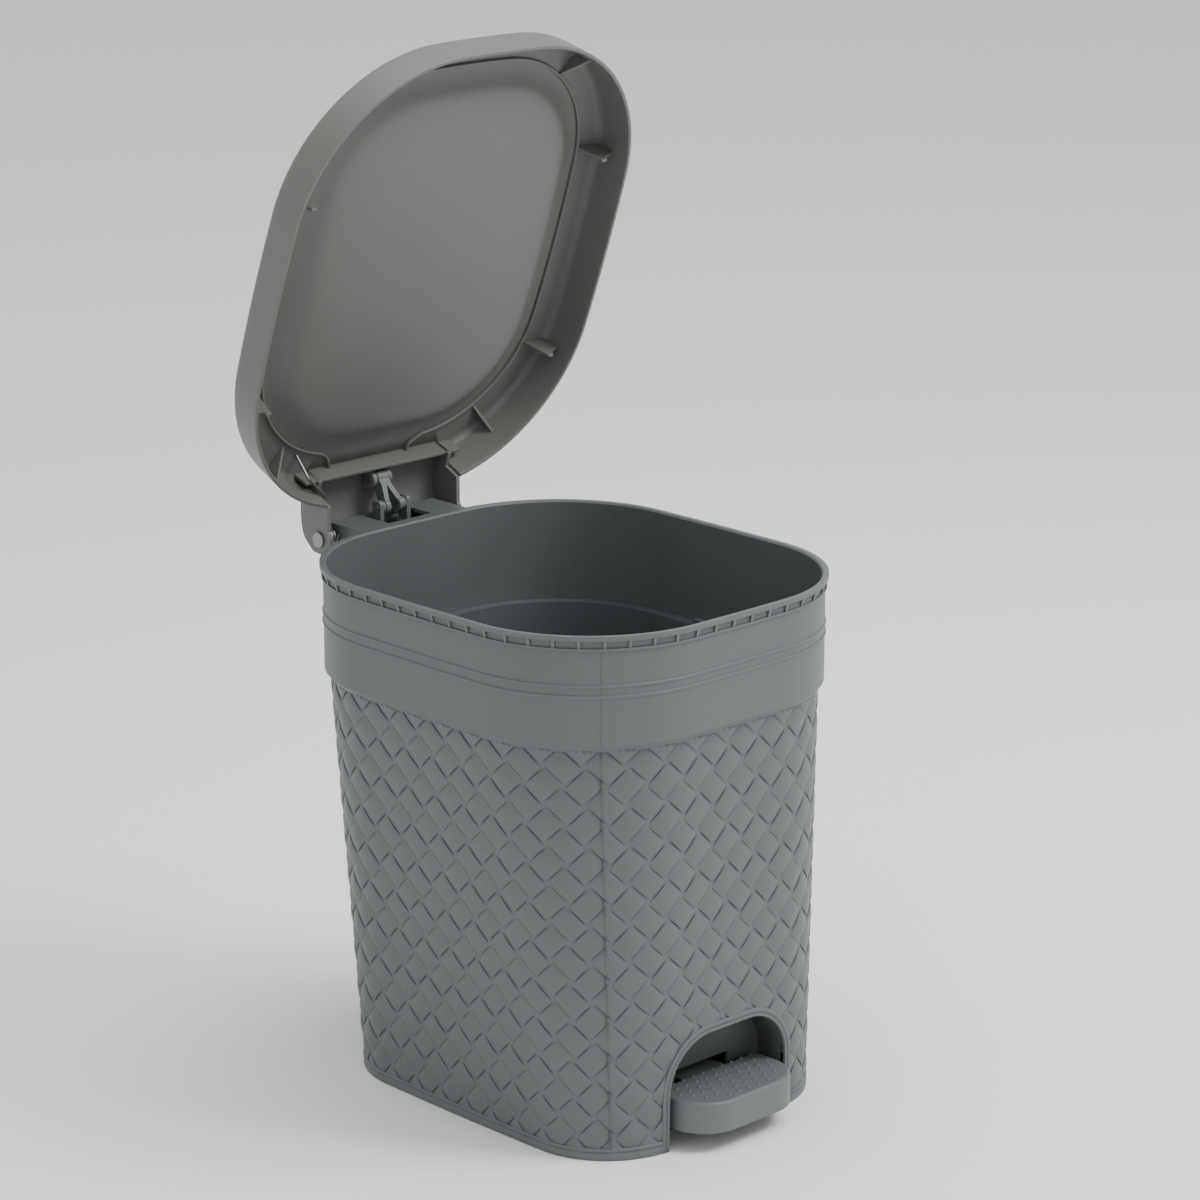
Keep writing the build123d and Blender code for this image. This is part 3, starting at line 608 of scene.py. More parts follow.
# ------------------------------------------------------------------------------ woven wall
@dataclass
class Weave:
    """Basket-weave relief on the tapered wall: crowned strips that dive under each other."""

    finishes: Finishes
    period: float = 24.6
    strip: float = 14.4
    lift: float = 0.42
    wave: float = 0.98
    crown: float = 0.50
    hem: float = 8.0
    arch_half_width: float = 49.5
    arch_height: float = 68.0
    arch_corner: float = 33.0
    trim: float = 2.8

    def tile(self) -> bpy.types.Object:
        """One visible stretch of strip, drawn flat in millimetres."""
        pitch = self.period / math.sqrt(2)
        half_length = pitch - self.strip / 2 + 0.35
        along = np.linspace(-half_length, half_length, 9)
        across = np.array([-1.0, -0.9, -0.5, 0.0, 0.5, 0.9, 1.0]) * self.strip / 2
        points = []
        for x in along:
            for y in across:
                side = abs(2 * y / self.strip)
                top = self.lift + self.wave * math.cos(math.pi * x / pitch) - self.crown * side**2
                points.append((x, y, top - (0.16 if side > 0.95 else 0.0)))
        rows, columns = len(along), len(across)
        faces = [
            (r * columns + c, (r + 1) * columns + c, (r + 1) * columns + c + 1, r * columns + c + 1)
            for r in range(rows - 1)
            for c in range(columns - 1)
        ]
        rim = [c for c in range(columns)]
        rim += [r * columns + columns - 1 for r in range(1, rows)]
        rim += [(rows - 1) * columns + c for c in range(columns - 2, -1, -1)]
        rim += [r * columns for r in range(rows - 2, 0, -1)]
        base = len(points)
        points += [(points[k][0], points[k][1], -1.0) for k in rim]
        count = len(rim)
        faces += [(rim[k], rim[(k + 1) % count], base + (k + 1) % count, base + k) for k in range(count)]
        faces.append(tuple(base + k for k in range(count))[::-1])
        made = new_object("strip_tile", np.array(points) / MM, faces)
        outward(made)
        sharp = made.data.attributes.new("sharp_face", "BOOLEAN", "FACE")
        flags = [False] * ((rows - 1) * (columns - 1)) + [True] * (count + 1)
        sharp.data.foreach_set("value", flags)
        return made

    def mat_tree(self) -> bpy.types.NodeTree:
        """Node tree that lays two crossing families of strips side by side on a flat mat."""
        tree = bpy.data.node_groups.new("Woven mat", "GeometryNodeTree")
        face = tree.interface
        face.new_socket("Geometry", in_out="INPUT", socket_type="NodeSocketGeometry")
        for name, kind in (
            ("Tile", "NodeSocketObject"),
            ("Period across", "NodeSocketFloat"),
            ("Period up", "NodeSocketFloat"),
            ("Columns", "NodeSocketInt"),
            ("Rows", "NodeSocketInt"),
            ("Turn", "NodeSocketFloat"),
            ("Finish", "NodeSocketMaterial"),
        ):
            face.new_socket(name, in_out="INPUT", socket_type=kind)
        face.new_socket("Geometry", in_out="OUTPUT", socket_type="NodeSocketGeometry")
        t = Tree(tree)
        given = t.node("NodeGroupInput")
        result = t.node("NodeGroupOutput")
        tile = t.node("GeometryNodeObjectInfo")
        t.link(given.outputs["Tile"], tile.inputs["Object"])
        both = t.node("GeometryNodeJoinGeometry")
        for family in (0, 1):
            gaps_across = t.math("SUBTRACT", given.outputs["Columns"], 1)
            width = t.math("MULTIPLY", gaps_across, given.outputs["Period across"])
            gaps_up = t.math("SUBTRACT", given.outputs["Rows"], 1)
            height = t.math("MULTIPLY", gaps_up, given.outputs["Period up"])
            grid = t.node("GeometryNodeMeshGrid")
            t.link(width, grid.inputs["Size X"])
            t.link(height, grid.inputs["Size Y"])
            t.link(given.outputs["Columns"], grid.inputs["Vertices X"])
            t.link(given.outputs["Rows"], grid.inputs["Vertices Y"])
            shift = t.node("ShaderNodeCombineXYZ")
            part = 0.25 + 0.5 * family
            step_x = t.math("MULTIPLY", given.outputs["Period across"], part)
            step_y = t.math("MULTIPLY", given.outputs["Period up"], 0.5 * family)
            t.link(t.math("ADD", t.math("MULTIPLY", width, 0.5), step_x), shift.inputs["X"])
            t.link(t.math("ADD", t.math("MULTIPLY", height, 0.5), step_y), shift.inputs["Y"])
            moved = t.node("GeometryNodeTransform")
            t.link(grid.outputs["Mesh"], moved.inputs["Geometry"])
            t.link(shift.outputs["Vector"], moved.inputs["Translation"])
            turn = t.node("ShaderNodeCombineXYZ")
            t.link(t.math("MULTIPLY", given.outputs["Turn"], 1.0 if family else -1.0), turn.inputs["Z"])
            strips = t.node("GeometryNodeInstanceOnPoints")
            t.link(moved.outputs["Geometry"], strips.inputs["Points"])
            t.link(tile.outputs["Geometry"], strips.inputs["Instance"])
            t.link(turn.outputs["Vector"], strips.inputs["Rotation"])
            t.link(strips.outputs["Instances"], both.inputs["Geometry"])
        real = t.node("GeometryNodeRealizeInstances")
        painted = t.node("GeometryNodeSetMaterial")
        t.link(both.outputs["Geometry"], real.inputs["Geometry"])
        t.link(real.outputs["Geometry"], painted.inputs["Geometry"])
        t.link(given.outputs["Finish"], painted.inputs["Material"])
        t.link(painted.outputs["Geometry"], result.inputs["Geometry"])
        return tree

    def clear_of_arch(self, placed: np.ndarray) -> tuple:
        """Moves points that stand in the pedal arch out to the middle of its trim.

        Args:
            placed: Points on the wall, in millimetres.

        Returns:
            The points, and which of them were moved.
        """
        grow = self.trim
        half, top, corner = self.arch_half_width + grow, self.arch_height + grow, self.arch_corner + grow
        x, y, z = placed.T.copy()
        front = (y < -90) & (np.abs(x) < half) & (z < top)
        right, up = np.abs(x) - (half - corner), z - (top - corner)
        bent = front & (right > 0) & (up > 0)
        reach = np.hypot(right, up)
        push = np.where(bent & (reach < corner) & (reach > 0.01), corner / np.maximum(reach, 0.01), 1.0)
        new_x = np.where(bent, half - corner + right * push, np.abs(x))
        new_z = np.where(bent, top - corner + up * push, z)
        straight = front & ~bent
        near_side = (half - np.abs(x)) < (top - z)
        new_x = np.where(straight & near_side, half, new_x)
        new_z = np.where(straight & ~near_side, top, new_z)
        moved = np.column_stack([new_x * np.where(x < 0, -1, 1), y, new_z])
        changed = np.abs(moved - placed).max(axis=1) > 1e-6
        if changed.any():
            levels = np.clip(moved[changed, 2], 0, STEP_FOOT)
            out = np.full(changed.sum(), 0.4)
            moved[changed, 1] = [
                front_y(px, pz, ph) for px, pz, ph in zip(moved[changed, 0], levels, out)
            ]
        return moved, changed

    def build(self) -> list:
        """Makes the four woven faces.

        Returns:
            The pieces, riding on the bin.
        """
        log.info("weave")
        tile = self.tile()
        tree = self.mat_tree()
        keys = {item.name: item.identifier for item in tree.interface.items_tree if item.in_out == "INPUT"}
        middle = WOVEN.at(STEP_FOOT / 2).length()
        columns = 4 * round(middle / self.period / 4)
        across = middle / columns
        rows = 11
        pieces = []
        # each quarter runs a quarter turn from the middle of the front, so each name spans a corner
        for quarter, name in enumerate(("weave_right", "weave_back", "weave_left", "weave_front")):
            made = new_object(name, np.zeros((1, 3)), [])
            step = made.modifiers.new("Weave", "NODES")
            step.node_group = tree
            values = {
                "Tile": tile,
                "Period across": float(across),
                "Period up": float(self.period),
                "Columns": columns // 4,
                "Rows": rows,
                "Turn": math.radians(45.0),
                "Finish": self.finishes.of(Slot.BODY),
            }
            for label, value in values.items():
                step[keys[label]] = value
            made.data.update()
            baked(made)
            count = len(made.data.vertices)
            flat = np.zeros(count * 3)
            made.data.vertices.foreach_get("co", flat)
            flat = flat.reshape(-1, 3)
            start = quarter * middle / 4
            share = (flat[:, 0] + start) / middle
            height = np.clip(flat[:, 1] + 3.0, self.hem / 2, STEP_FOOT + 1.5)
            placed = WOVEN.wrap(np.column_stack([share, height, flat[:, 2]]))
            placed, cut = self.clear_of_arch(placed)
            made.data.vertices.foreach_set("co", (placed * MM).ravel())
            made.data.update()
            gone = np.repeat(cut.reshape(-1, len(tile.data.vertices)).all(axis=1), len(tile.data.vertices))
            drop_vertices(made, gone)
            merge_close(made, 0.004)
            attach(made, Body.BIN.value)
            pieces.append(made)
        bpy.data.objects.remove(tile)
        return pieces


def drop_vertices(piece: bpy.types.Object, gone: np.ndarray) -> None:
    """Deletes the flagged vertices with their faces.

    Args:
        piece: Mesh object.
        gone: One flag per vertex.
    """
    if not gone.any():
        return
    work = bmesh.new()
    work.from_mesh(piece.data)
    work.verts.ensure_lookup_table()
    bmesh.ops.delete(work, geom=[work.verts[k] for k in np.flatnonzero(gone)], context="VERTS")
    work.to_mesh(piece.data)
    work.free()


def merge_close(made: bpy.types.Object, gap: float) -> None:
    """Merges points closer than a gap in millimetres and drops faces with no area."""

    work = bmesh.new()
    work.from_mesh(made.data)
    bmesh.ops.dissolve_degenerate(work, dist=gap * MM, edges=work.edges)
    work.to_mesh(made.data)
    work.free()


def front_y(x: float, height: float, out: float) -> float:
    """Y of the woven wall's front at an x and a height, in millimetres.

    Args:
        x: Distance from the middle.
        height: Height above the floor.
        out: Distance in front of the wall.

    Returns:
        The y coordinate.
    """
    outline = WOVEN.at(height)
    arc = outline.arcs()[0]
    return float(arc[1] - math.sqrt(max((arc[2] + out) ** 2 - x * x, 0.0)))


# ------------------------------------------------------------------------------ trims on the body
@dataclass
class BodyTrim:
    """Moulded trims of the body: hem, arch border, band beads, parting lines and the rim's ribs."""

    finishes: Finishes
    hem: float = 8.0
    arch_half_width: float = 49.5
    arch_height: float = 68.0
    arch_corner: float = 33.0
    border: float = 5.6
    proud: float = 1.45
    rib_pitch: float = 15.0
    rib_thick: float = 1.8

    def loop(
        self, name: str, wall: Wall, section: list, start: float = 0.0, end: float = 1.0
    ) -> bpy.types.Object:
        """Sweeps a section round a wall.

        Args:
            name: Object name.
            wall: Wall to follow.
            section: Points (height, distance outwards) in millimetres.
            start: Share of the way round where it starts.
            end: Share where it ends; a whole turn closes the loop.

        Returns:
            The closed piece.
        """
        whole = end - start > 0.999
        shares = np.linspace(start, end, 360)
        shares = shares[:-1] if whole else shares
        rings = [wall.wrap(np.array([(s, h, d) for h, d in section], float)) for s in shares]
        return outward(new_object(name, *tube(rings, closed=whole)))

    def hem_strip(self) -> bpy.types.Object:
        """Plain hem along the foot of the wall, with a fine groove, open at the pedal arch."""
        length = WOVEN.at(4).length()
        gap = (self.arch_half_width + 0.8) / length
        d = self.proud
        section = [
            (0.02, -1.0), (0.02, d - 0.5), (0.5, d), (4.9, d), (5.2, d - 0.55), (5.6, d - 0.55),
            (5.9, d), (self.hem - 0.5, d), (self.hem, d - 0.4), (self.hem, -1.0),
        ]
        return self.loop("hem", WOVEN, section, gap, 1 - gap)

    def arch_points(self, grow: float, steps: int = 22) -> list:
        """Points (x, z) along the arch outline, grown by a distance."""
        half, top, corner = self.arch_half_width + grow, self.arch_height + grow, self.arch_corner + grow
        points = [(half, z) for z in np.linspace(0.02, top - corner, 12)]
        for part in np.linspace(0, 1, steps)[1:]:
            angle = part * math.pi / 2
            points.append((half - corner + corner * math.cos(angle), top - corner + corner * math.sin(angle)))
        left = [(-x, z) for x, z in reversed(points)]
        middle = [(x, top) for x in np.linspace(half - corner, corner - half, 10)[1:-1]]
        return points + middle + left

    def arch_border(self) -> bpy.types.Object:
        """Border round the pedal arch with a rolled lip and a fine groove."""
        d = self.proud
        section = [
            (0.0, -2.0), (0.0, d - 0.4), (0.35, d + 0.1), (1.0, d + 0.35), (1.9, d + 0.1), (2.2, d - 0.45),
            (2.55, d - 0.45), (2.85, d), (self.border - 0.4, d), (self.border, d - 0.4), (self.border, -1.0),
        ]
        columns = [self.arch_points(grow) for grow, _ in section]
        rings = []
        for k in range(len(columns[0])):
            ring = [
                (column[k][0], front_y(column[k][0], column[k][1], out), column[k][1])
                for column, (_, out) in zip(columns, section)
            ]
            rings.append(np.array(ring))
        return outward(new_object("arch_border", *tube(rings, closed=False)))

    def beads(self) -> list:
        """Double bead round the band."""
        made = []
        for name, height in (("band_bead_upper", 299.6), ("band_bead_lower", 293.2)):
            profile = ((-1.2, -0.3), (-0.75, 0.42), (0.0, 0.75), (0.75, 0.42), (1.2, -0.3))
            section = [(height + up, out) for up, out in profile]
            made.append(self.loop(name, BANDED, section))
        return made

    def parting(self) -> list:
        """Mould parting lines down two opposite corners."""
        made = []
        for name, share in (("parting_front", 0.893), ("parting_back", 0.393)):
            for part, wall, low, high, out in (
                ("wall", WOVEN, 0.5, STEP_FOOT, 1.5),
                ("band", BANDED, BAND_BOTTOM, 322.4, 0.28),
            ):
                rings = []
                for height in np.linspace(low, high, 40):
                    half = 0.16 / RIM.length()
                    ring = [
                        (share - half, height, -0.6), (share - half * 0.6, height, out),
                        (share + half * 0.6, height, out), (share + half, height, -0.6),
                    ]
                    rings.append(wall.wrap(np.array(ring)))
                made.append(outward(new_object(f"{name}_{part}", *tube(rings, closed=False))))
        return made

    def rib_tree(self) -> bpy.types.NodeTree:
        """Node tree that stands a rib at every point of a ring, facing outwards."""
        tree = bpy.data.node_groups.new("Rim ribs", "GeometryNodeTree")
        face = tree.interface
        face.new_socket("Geometry", in_out="INPUT", socket_type="NodeSocketGeometry")
        face.new_socket("Rib", in_out="INPUT", socket_type="NodeSocketObject")
        face.new_socket("Size", in_out="INPUT", socket_type="NodeSocketFloat")
        face.new_socket("Finish", in_out="INPUT", socket_type="NodeSocketMaterial")
        face.new_socket("Geometry", in_out="OUTPUT", socket_type="NodeSocketGeometry")
        t = Tree(tree)
        given = t.node("NodeGroupInput")
        result = t.node("NodeGroupOutput")
        rib = t.node("GeometryNodeObjectInfo")
        t.link(given.outputs["Rib"], rib.inputs["Object"])
        facing = t.node("GeometryNodeInputNamedAttribute", data_type="FLOAT")
        facing.inputs["Name"].default_value = "facing"
        turn = t.node("ShaderNodeCombineXYZ")
        t.link(facing.outputs["Attribute"], turn.inputs["Z"])
        size = t.node("ShaderNodeCombineXYZ")
        for axis in "XYZ":
            t.link(given.outputs["Size"], size.inputs[axis])
        stood = t.node("GeometryNodeInstanceOnPoints")
        t.link(given.outputs["Geometry"], stood.inputs["Points"])
        t.link(rib.outputs["Geometry"], stood.inputs["Instance"])
        t.link(turn.outputs["Vector"], stood.inputs["Rotation"])
        t.link(size.outputs["Vector"], stood.inputs["Scale"])
        real = t.node("GeometryNodeRealizeInstances")
        painted = t.node("GeometryNodeSetMaterial")
        t.link(stood.outputs["Instances"], real.inputs["Geometry"])
        t.link(real.outputs["Geometry"], painted.inputs["Geometry"])
        t.link(given.outputs["Finish"], painted.inputs["Material"])
        t.link(painted.outputs["Geometry"], result.inputs["Geometry"])
        return tree

    def ribs(self) -> bpy.types.Object:
        """Small upright ribs between the rim ring and the ledge below it."""
        half = self.rib_thick / 2
        profile = [(-0.6, 321.9), (0.55, 321.9), (0.75, 322.6), (1.85, 326.8), (1.85, 327.4), (-0.6, 327.4)]
        points = [(d, side, z) for side in (-half, half) for d, z in profile]
        count = len(profile)
        faces = [tuple(range(count))[::-1], tuple(range(count, 2 * count))]
        faces += [(k, (k + 1) % count, count + (k + 1) % count, count + k) for k in range(count)]
        rib = outward(new_object("rib", np.array(points), faces, smooth=False))
        length = BAND.length()
        number = round(length / self.rib_pitch)
        shares = (np.arange(number) + 0.5) / number
        rows = np.repeat(BAND.arcs()[None], number, axis=0)
        inner = locate(rows, shares, np.zeros(number))
        outer = locate(rows, shares, np.ones(number))
        ring = new_object("rim_ribs", np.column_stack([inner, np.zeros(number)]), [])
        angle = np.arctan2(*(outer - inner).T[::-1])
        facing = ring.data.attributes.new("facing", "FLOAT", "POINT")
        facing.data.foreach_set("value", angle.astype(np.float32))
        tree = self.rib_tree()
        keys = {item.name: item.identifier for item in tree.interface.items_tree if item.in_out == "INPUT"}
        step = ring.modifiers.new("Ribs", "NODES")
        step.node_group = tree
        step[keys["Rib"]] = rib
        step[keys["Size"]] = 1.0
        step[keys["Finish"]] = self.finishes.of(Slot.BODY)
        baked(ring)
        bpy.data.objects.remove(rib)
        return ring

    def build(self) -> list:
        """Makes the trims.

        Returns:
            The pieces, riding on the bin.
        """
        log.info("body trims")
        pieces = [self.hem_strip(), self.arch_border(), *self.beads(), *self.parting(), self.ribs()]
        for piece in pieces:
            self.finishes.dress(piece, Slot.BODY)
            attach(piece, Body.BIN.value)
        return pieces


# ------------------------------------------------------------------------------ lid
@dataclass
class Lid:
    """Lid shell with its dished middle, skirt, bead, webs and hinge hood."""

    finishes: Finishes
    form: Outline = Outline(138.0, 158.0, 108.0, 9.0)
    dish: Outline = Outline(107.0, 127.5, 76.0, 9.0)
    centre: float = -177.4
    dish_centre: float = -179.5
    height: float = 28.5
    wall: float = 2.4
    draft: float = math.tan(math.radians(5.0))
    hood_half_width: float = 56.0
    cheek: float = 3.0

    def ring(self, outline: Outline, centre: float, level: float) -> np.ndarray:
        """Ring of points round an outline at a level, on the open lid."""
        shares = np.linspace(0, 1, 241)[:-1]
        rows = np.repeat(outline.arcs()[None], len(shares), axis=0)
        plan = locate(rows, shares, np.zeros(len(shares)))
        return open_lid(np.column_stack([plan[:, 0], plan[:, 1] + centre, np.full(len(plan), level)]))

    def shell(self) -> bpy.types.Object:
        """Closed shell: skirt, rounded edge, dished top, and the same inside with soft slopes."""
        top, wall = self.height, self.wall
        rings = []

        def skirt(inset: float, level: float) -> None:
            rings.append(self.ring(self.form.grown(-inset - level * self.draft), self.centre, level))

        def dished(grow: float, level: float) -> None:
            rings.append(self.ring(self.dish.grown(grow), self.dish_centre, level))

        skirt(0.5, 0.0)
        skirt(0.1, 0.25)
        skirt(0.0, 0.9)
        for level in (4.0, 10.0, 16.0, 21.0):
            skirt(0.0, level)
        for part in np.linspace(0.12, 1.0, 9):
            angle = part * math.pi / 2
            skirt(7.0 * (1 - math.cos(angle)), top - 7.0 + 7.0 * math.sin(angle))
        # (distance grown from the panel's outline, height from the lid's top)
        upper = (
            (2.2, 0.0), (1.2, -0.06), (0.4, -0.4), (-1.0, -1.4), (-6.0, -5.4),
            (-7.6, -6.5), (-8.6, -6.9), (-10.5, -7.0), (-40.0, -7.0), (-66.0, -7.0),
        )
        for grow, level in upper:
            dished(grow, top + level)
        under = top - wall
        lower = (
            (-66.0, -9.6), (-45.0, -9.4), (-25.0, -8.9), (-16.0, -8.3), (-12.0, -7.6),
            (-9.6, -6.7), (-7.8, -5.5), (-6.0, -4.2), (-3.6, -2.75), (-0.8, -1.5),
            (2.2, -0.6), (5.0, -0.12), (7.4, 0.0),
        )
        for grow, level in lower:
            dished(grow, under + level)
        for part in np.linspace(0.0, 1.0, 7):
            angle = (1 - part) * math.pi / 2
            skirt(wall + 4.5 * (1 - math.cos(angle)), under - 4.5 + 4.5 * math.sin(angle))
        for level in (16.0, 10.0, 4.0, 0.6):
            skirt(wall, level)
        skirt(wall - 0.15, 0.15)
        skirt(wall - 0.5, 0.0)
        count = len(rings[0])
        points = np.concatenate(rings)
        faces = []
        split = 16 + 10
        for r in range(len(rings)):
            if r == split - 1:
                continue
            a, b = r * count, ((r + 1) % len(rings)) * count
            faces += [(a + k, a + (k + 1) % count, b + (k + 1) % count, b + k) for k in range(count)]
        faces.append(tuple(range((split - 1) * count, split * count)))
        faces.append(tuple(range(split * count, (split + 1) * count))[::-1])
        made = outward(new_object("lid_shell", points, faces))
        cut = prism("cut", [(-34.0, -5.0), (80.0, -5.0), (80.0, 40.0), (-34.0, 40.0)], -56.0, 56.0)
        step = made.modifiers.new("Hood opening", "BOOLEAN")
        step.operation = "DIFFERENCE"
        step.solver = "EXACT"
        step.object = cut
        baked(made)
        bpy.data.objects.remove(cut)
        return made

    def hood(self) -> bpy.types.Object:
        """Hood over the hinge: two cheeks and a curved roof."""
        wide, cheek = self.hood_half_width, self.cheek
        outer = curve_points([(10.6, 3.0), (5.5, 14.2), (-4.0, 20.4), (-17.0, 24.8), (-35.0, 28.5)], 8)
        inner = curve_points([(-36.0, 26.1), (-18.0, 22.4), (-5.0, 17.9), (4.0, 12.2), (8.6, 8.0)], 8)
        knuckle = [(10.2 * math.sin(a), -10.2 * math.cos(a)) for a in np.linspace(-0.98, 0.98, 13)]
        cheek_outline = outer + [(-35.0, 12.0), (-25.5, 12.0), (-24.0, 0.0)] + knuckle
        pieces = [
            prism("cheek_left", cheek_outline, -wide, cheek - wide),
            prism("cheek_right", cheek_outline, wide - cheek, wide),
        ]
        roof = outer + inner + [(9.6, 7.6)]
        pieces.append(prism("roof", roof, cheek - wide - 0.5, wide - cheek + 0.5))
        made = joined("lid_hood", pieces)
        return bevel(made, 0.7, 2, 40)

    def inside_ribs(self) -> bpy.types.Object:
        """Transverse wall, link ears, toothed webs and corner webs."""
        ceiling = self.height - self.wall / 2
        wall_section = [(-35.0, 14.0), (-33.0, 14.0), (-33.0, ceiling), (-35.0, ceiling)]
        pieces = [prism("cross_wall", wall_section, -65.0, 65.0)]
        boss_reach, boss_angle, boss_round = 29.56, math.radians(35.1), 5.5
        boss_u, boss_h = -boss_reach * math.cos(boss_angle), boss_reach * math.sin(boss_angle)
        ear = [
            (boss_u + boss_round * math.cos(a), boss_h + boss_round * math.sin(a))
            for a in np.linspace(-math.pi, 0.0, 15)
        ]
        ear += [(boss_u + 9.0, boss_h + 2.4), (boss_u - 9.0, boss_h + 8.2)]
        for low in (-7.8, 4.4):
            pieces.append(prism(f"ear_{low}", ear, low, low + 3.4))
        for u in (-100.0, -242.0):
            for side in (-1, 1):
                pieces.append(self.toothed_web(side, u))
        for end in (-1, 1):
            for side in (-1, 1):
                pieces.append(self.corner_web(side, end))
        return bevel(joined("lid_ribs", pieces), 0.35, 2, 40)

    def web(self, name: str, corners: list, origin: tuple, out: tuple) -> bpy.types.Object:
        """Two-millimetre plate with corners (distance outwards, height)."""
        across = np.array([-out[1], out[0]])
        points = []
        for side in (-1.0, 1.0):
            for reach, level in corners:
                spot = np.array(origin) + np.array(out) * reach + across * side
                points.append((spot[0], spot[1], level))
        count = len(corners)
        faces = [tuple(range(count)), tuple(range(count, 2 * count))[::-1]]
        faces += [(k, (k + 1) % count, count + (k + 1) % count, count + k) for k in range(count)]
        return outward(new_object(name, open_lid(np.array(points)), faces, smooth=False))

    def toothed_web(self, side: int, u: float) -> bpy.types.Object:
        """Web by the skirt whose tooth drops inside the bin's rim when the lid is shut."""
        offset = u - self.centre
        bowed = 138.0 - 9.0 * (offset / 158.0) ** 2
        skirt_x = bowed - (abs(offset) > 60) * 0.012 * (abs(offset) - 50) ** 1.45
        inner = skirt_x - self.wall * 0.6
        corners = [
            (inner - 2.0, 12.5), (skirt_x - 13.5, 9.2), (skirt_x - 14.5, 5.8), (skirt_x - 18.5, 6.0),
            (skirt_x - 24.0, self.height - self.wall / 2), (inner - 7.5, self.height - self.wall / 2),
            (inner - 3.9, self.height - 7.0),
        ]
        return self.web(f"web_{side}_{u:.0f}", corners, (0.0, u), (float(side), 0.0))

    def corner_web(self, side: int, end: int) -> bpy.types.Object:
        """Plain three-cornered web inside a corner of the skirt."""
        angle = math.radians(53.9)
        out = (side * math.cos(angle), end * math.sin(angle))
        corners = [(105.6, 12.5), (84.0, self.height - self.wall / 2), (101.5, self.height - self.wall / 2)]
        return self.web(f"corner_web_{side}_{end}", corners, (side * 29.0, self.centre + end * 49.6), out)

    def bead(self) -> bpy.types.Object:
        """Thin bead on the ceiling whose two ends turn to the transverse wall."""
        outline = self.dish.grown(7.4)
        shares = np.linspace(0.5 + 0.058, 1.5 - 0.045, 320)
        rows = np.repeat(outline.arcs()[None], len(shares), axis=0)
        plan = locate(rows, shares, np.zeros(len(shares)))
        path = [tuple(p + np.array([0.0, self.dish_centre])) for p in plan]
        start, end = path[0], path[-1]
        path = [(start[0] + 11.0, -35.0), (start[0] + 9.6, -40.0), (start[0] + 5.2, start[1] + 2.6)] + path
        path += [(end[0] - 5.2, end[1] + 2.6), (end[0] - 9.6, -40.0), (end[0] - 11.0, -35.0)]
        path = curve_points(path, 3)
        under = self.height - self.wall
        section = [(-1.0, 0.8), (-0.85, -1.6), (-0.45, -2.1), (0.45, -2.1), (0.85, -1.6), (1.0, 0.8)]
        rings = []
        for k, spot in enumerate(path):
            before, after = path[max(k - 1, 0)], path[min(k + 1, len(path) - 1)]
            along = np.array([after[0] - before[0], after[1] - before[1]])
            along /= max(np.linalg.norm(along), 1e-6)
            across = np.array([-along[1], along[0]])
            ring = [(spot[0] + across[0] * w, spot[1] + across[1] * w, under + d) for w, d in section]
            rings.append(open_lid(np.array(ring)))
        return outward(new_object("lid_bead", *tube(rings, closed=False)))

    def build(self) -> list:
        """Makes the lid's pieces.

        Returns:
            The pieces, riding on the lid.
        """
        log.info("lid")
        shell = self.shell()
        pieces = [shell, self.hood(), self.inside_ribs(), self.bead()]
        for piece in pieces:
            self.finishes.dress(piece, Slot.LID)
            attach(piece, Body.LID.value)
        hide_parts("lid")
        return pieces


def curve_points(corners: list, steps: int) -> list:
    """Smooth curve through points, by Catmull-Rom pieces.

    Args:
        corners: Points (x, y).
        steps: Points made between each pair.

    Returns:
        Points along the curve.
    """
    p = [np.array(c, float) for c in corners]
    p = [2 * p[0] - p[1], *p, 2 * p[-1] - p[-2]]
    made = []
    for k in range(1, len(p) - 2):
        for part in np.linspace(0, 1, steps, endpoint=False):
            a, b, c, d = p[k - 1], p[k], p[k + 1], p[k + 2]
            spot = 0.5 * (
                2 * b
                + (c - a) * part
                + (2 * a - 5 * b + 4 * c - d) * part**2
                + (3 * b - a - 3 * c + d) * part**3
            )
            made.append(tuple(spot))
    made.append(tuple(p[-2]))
    return made


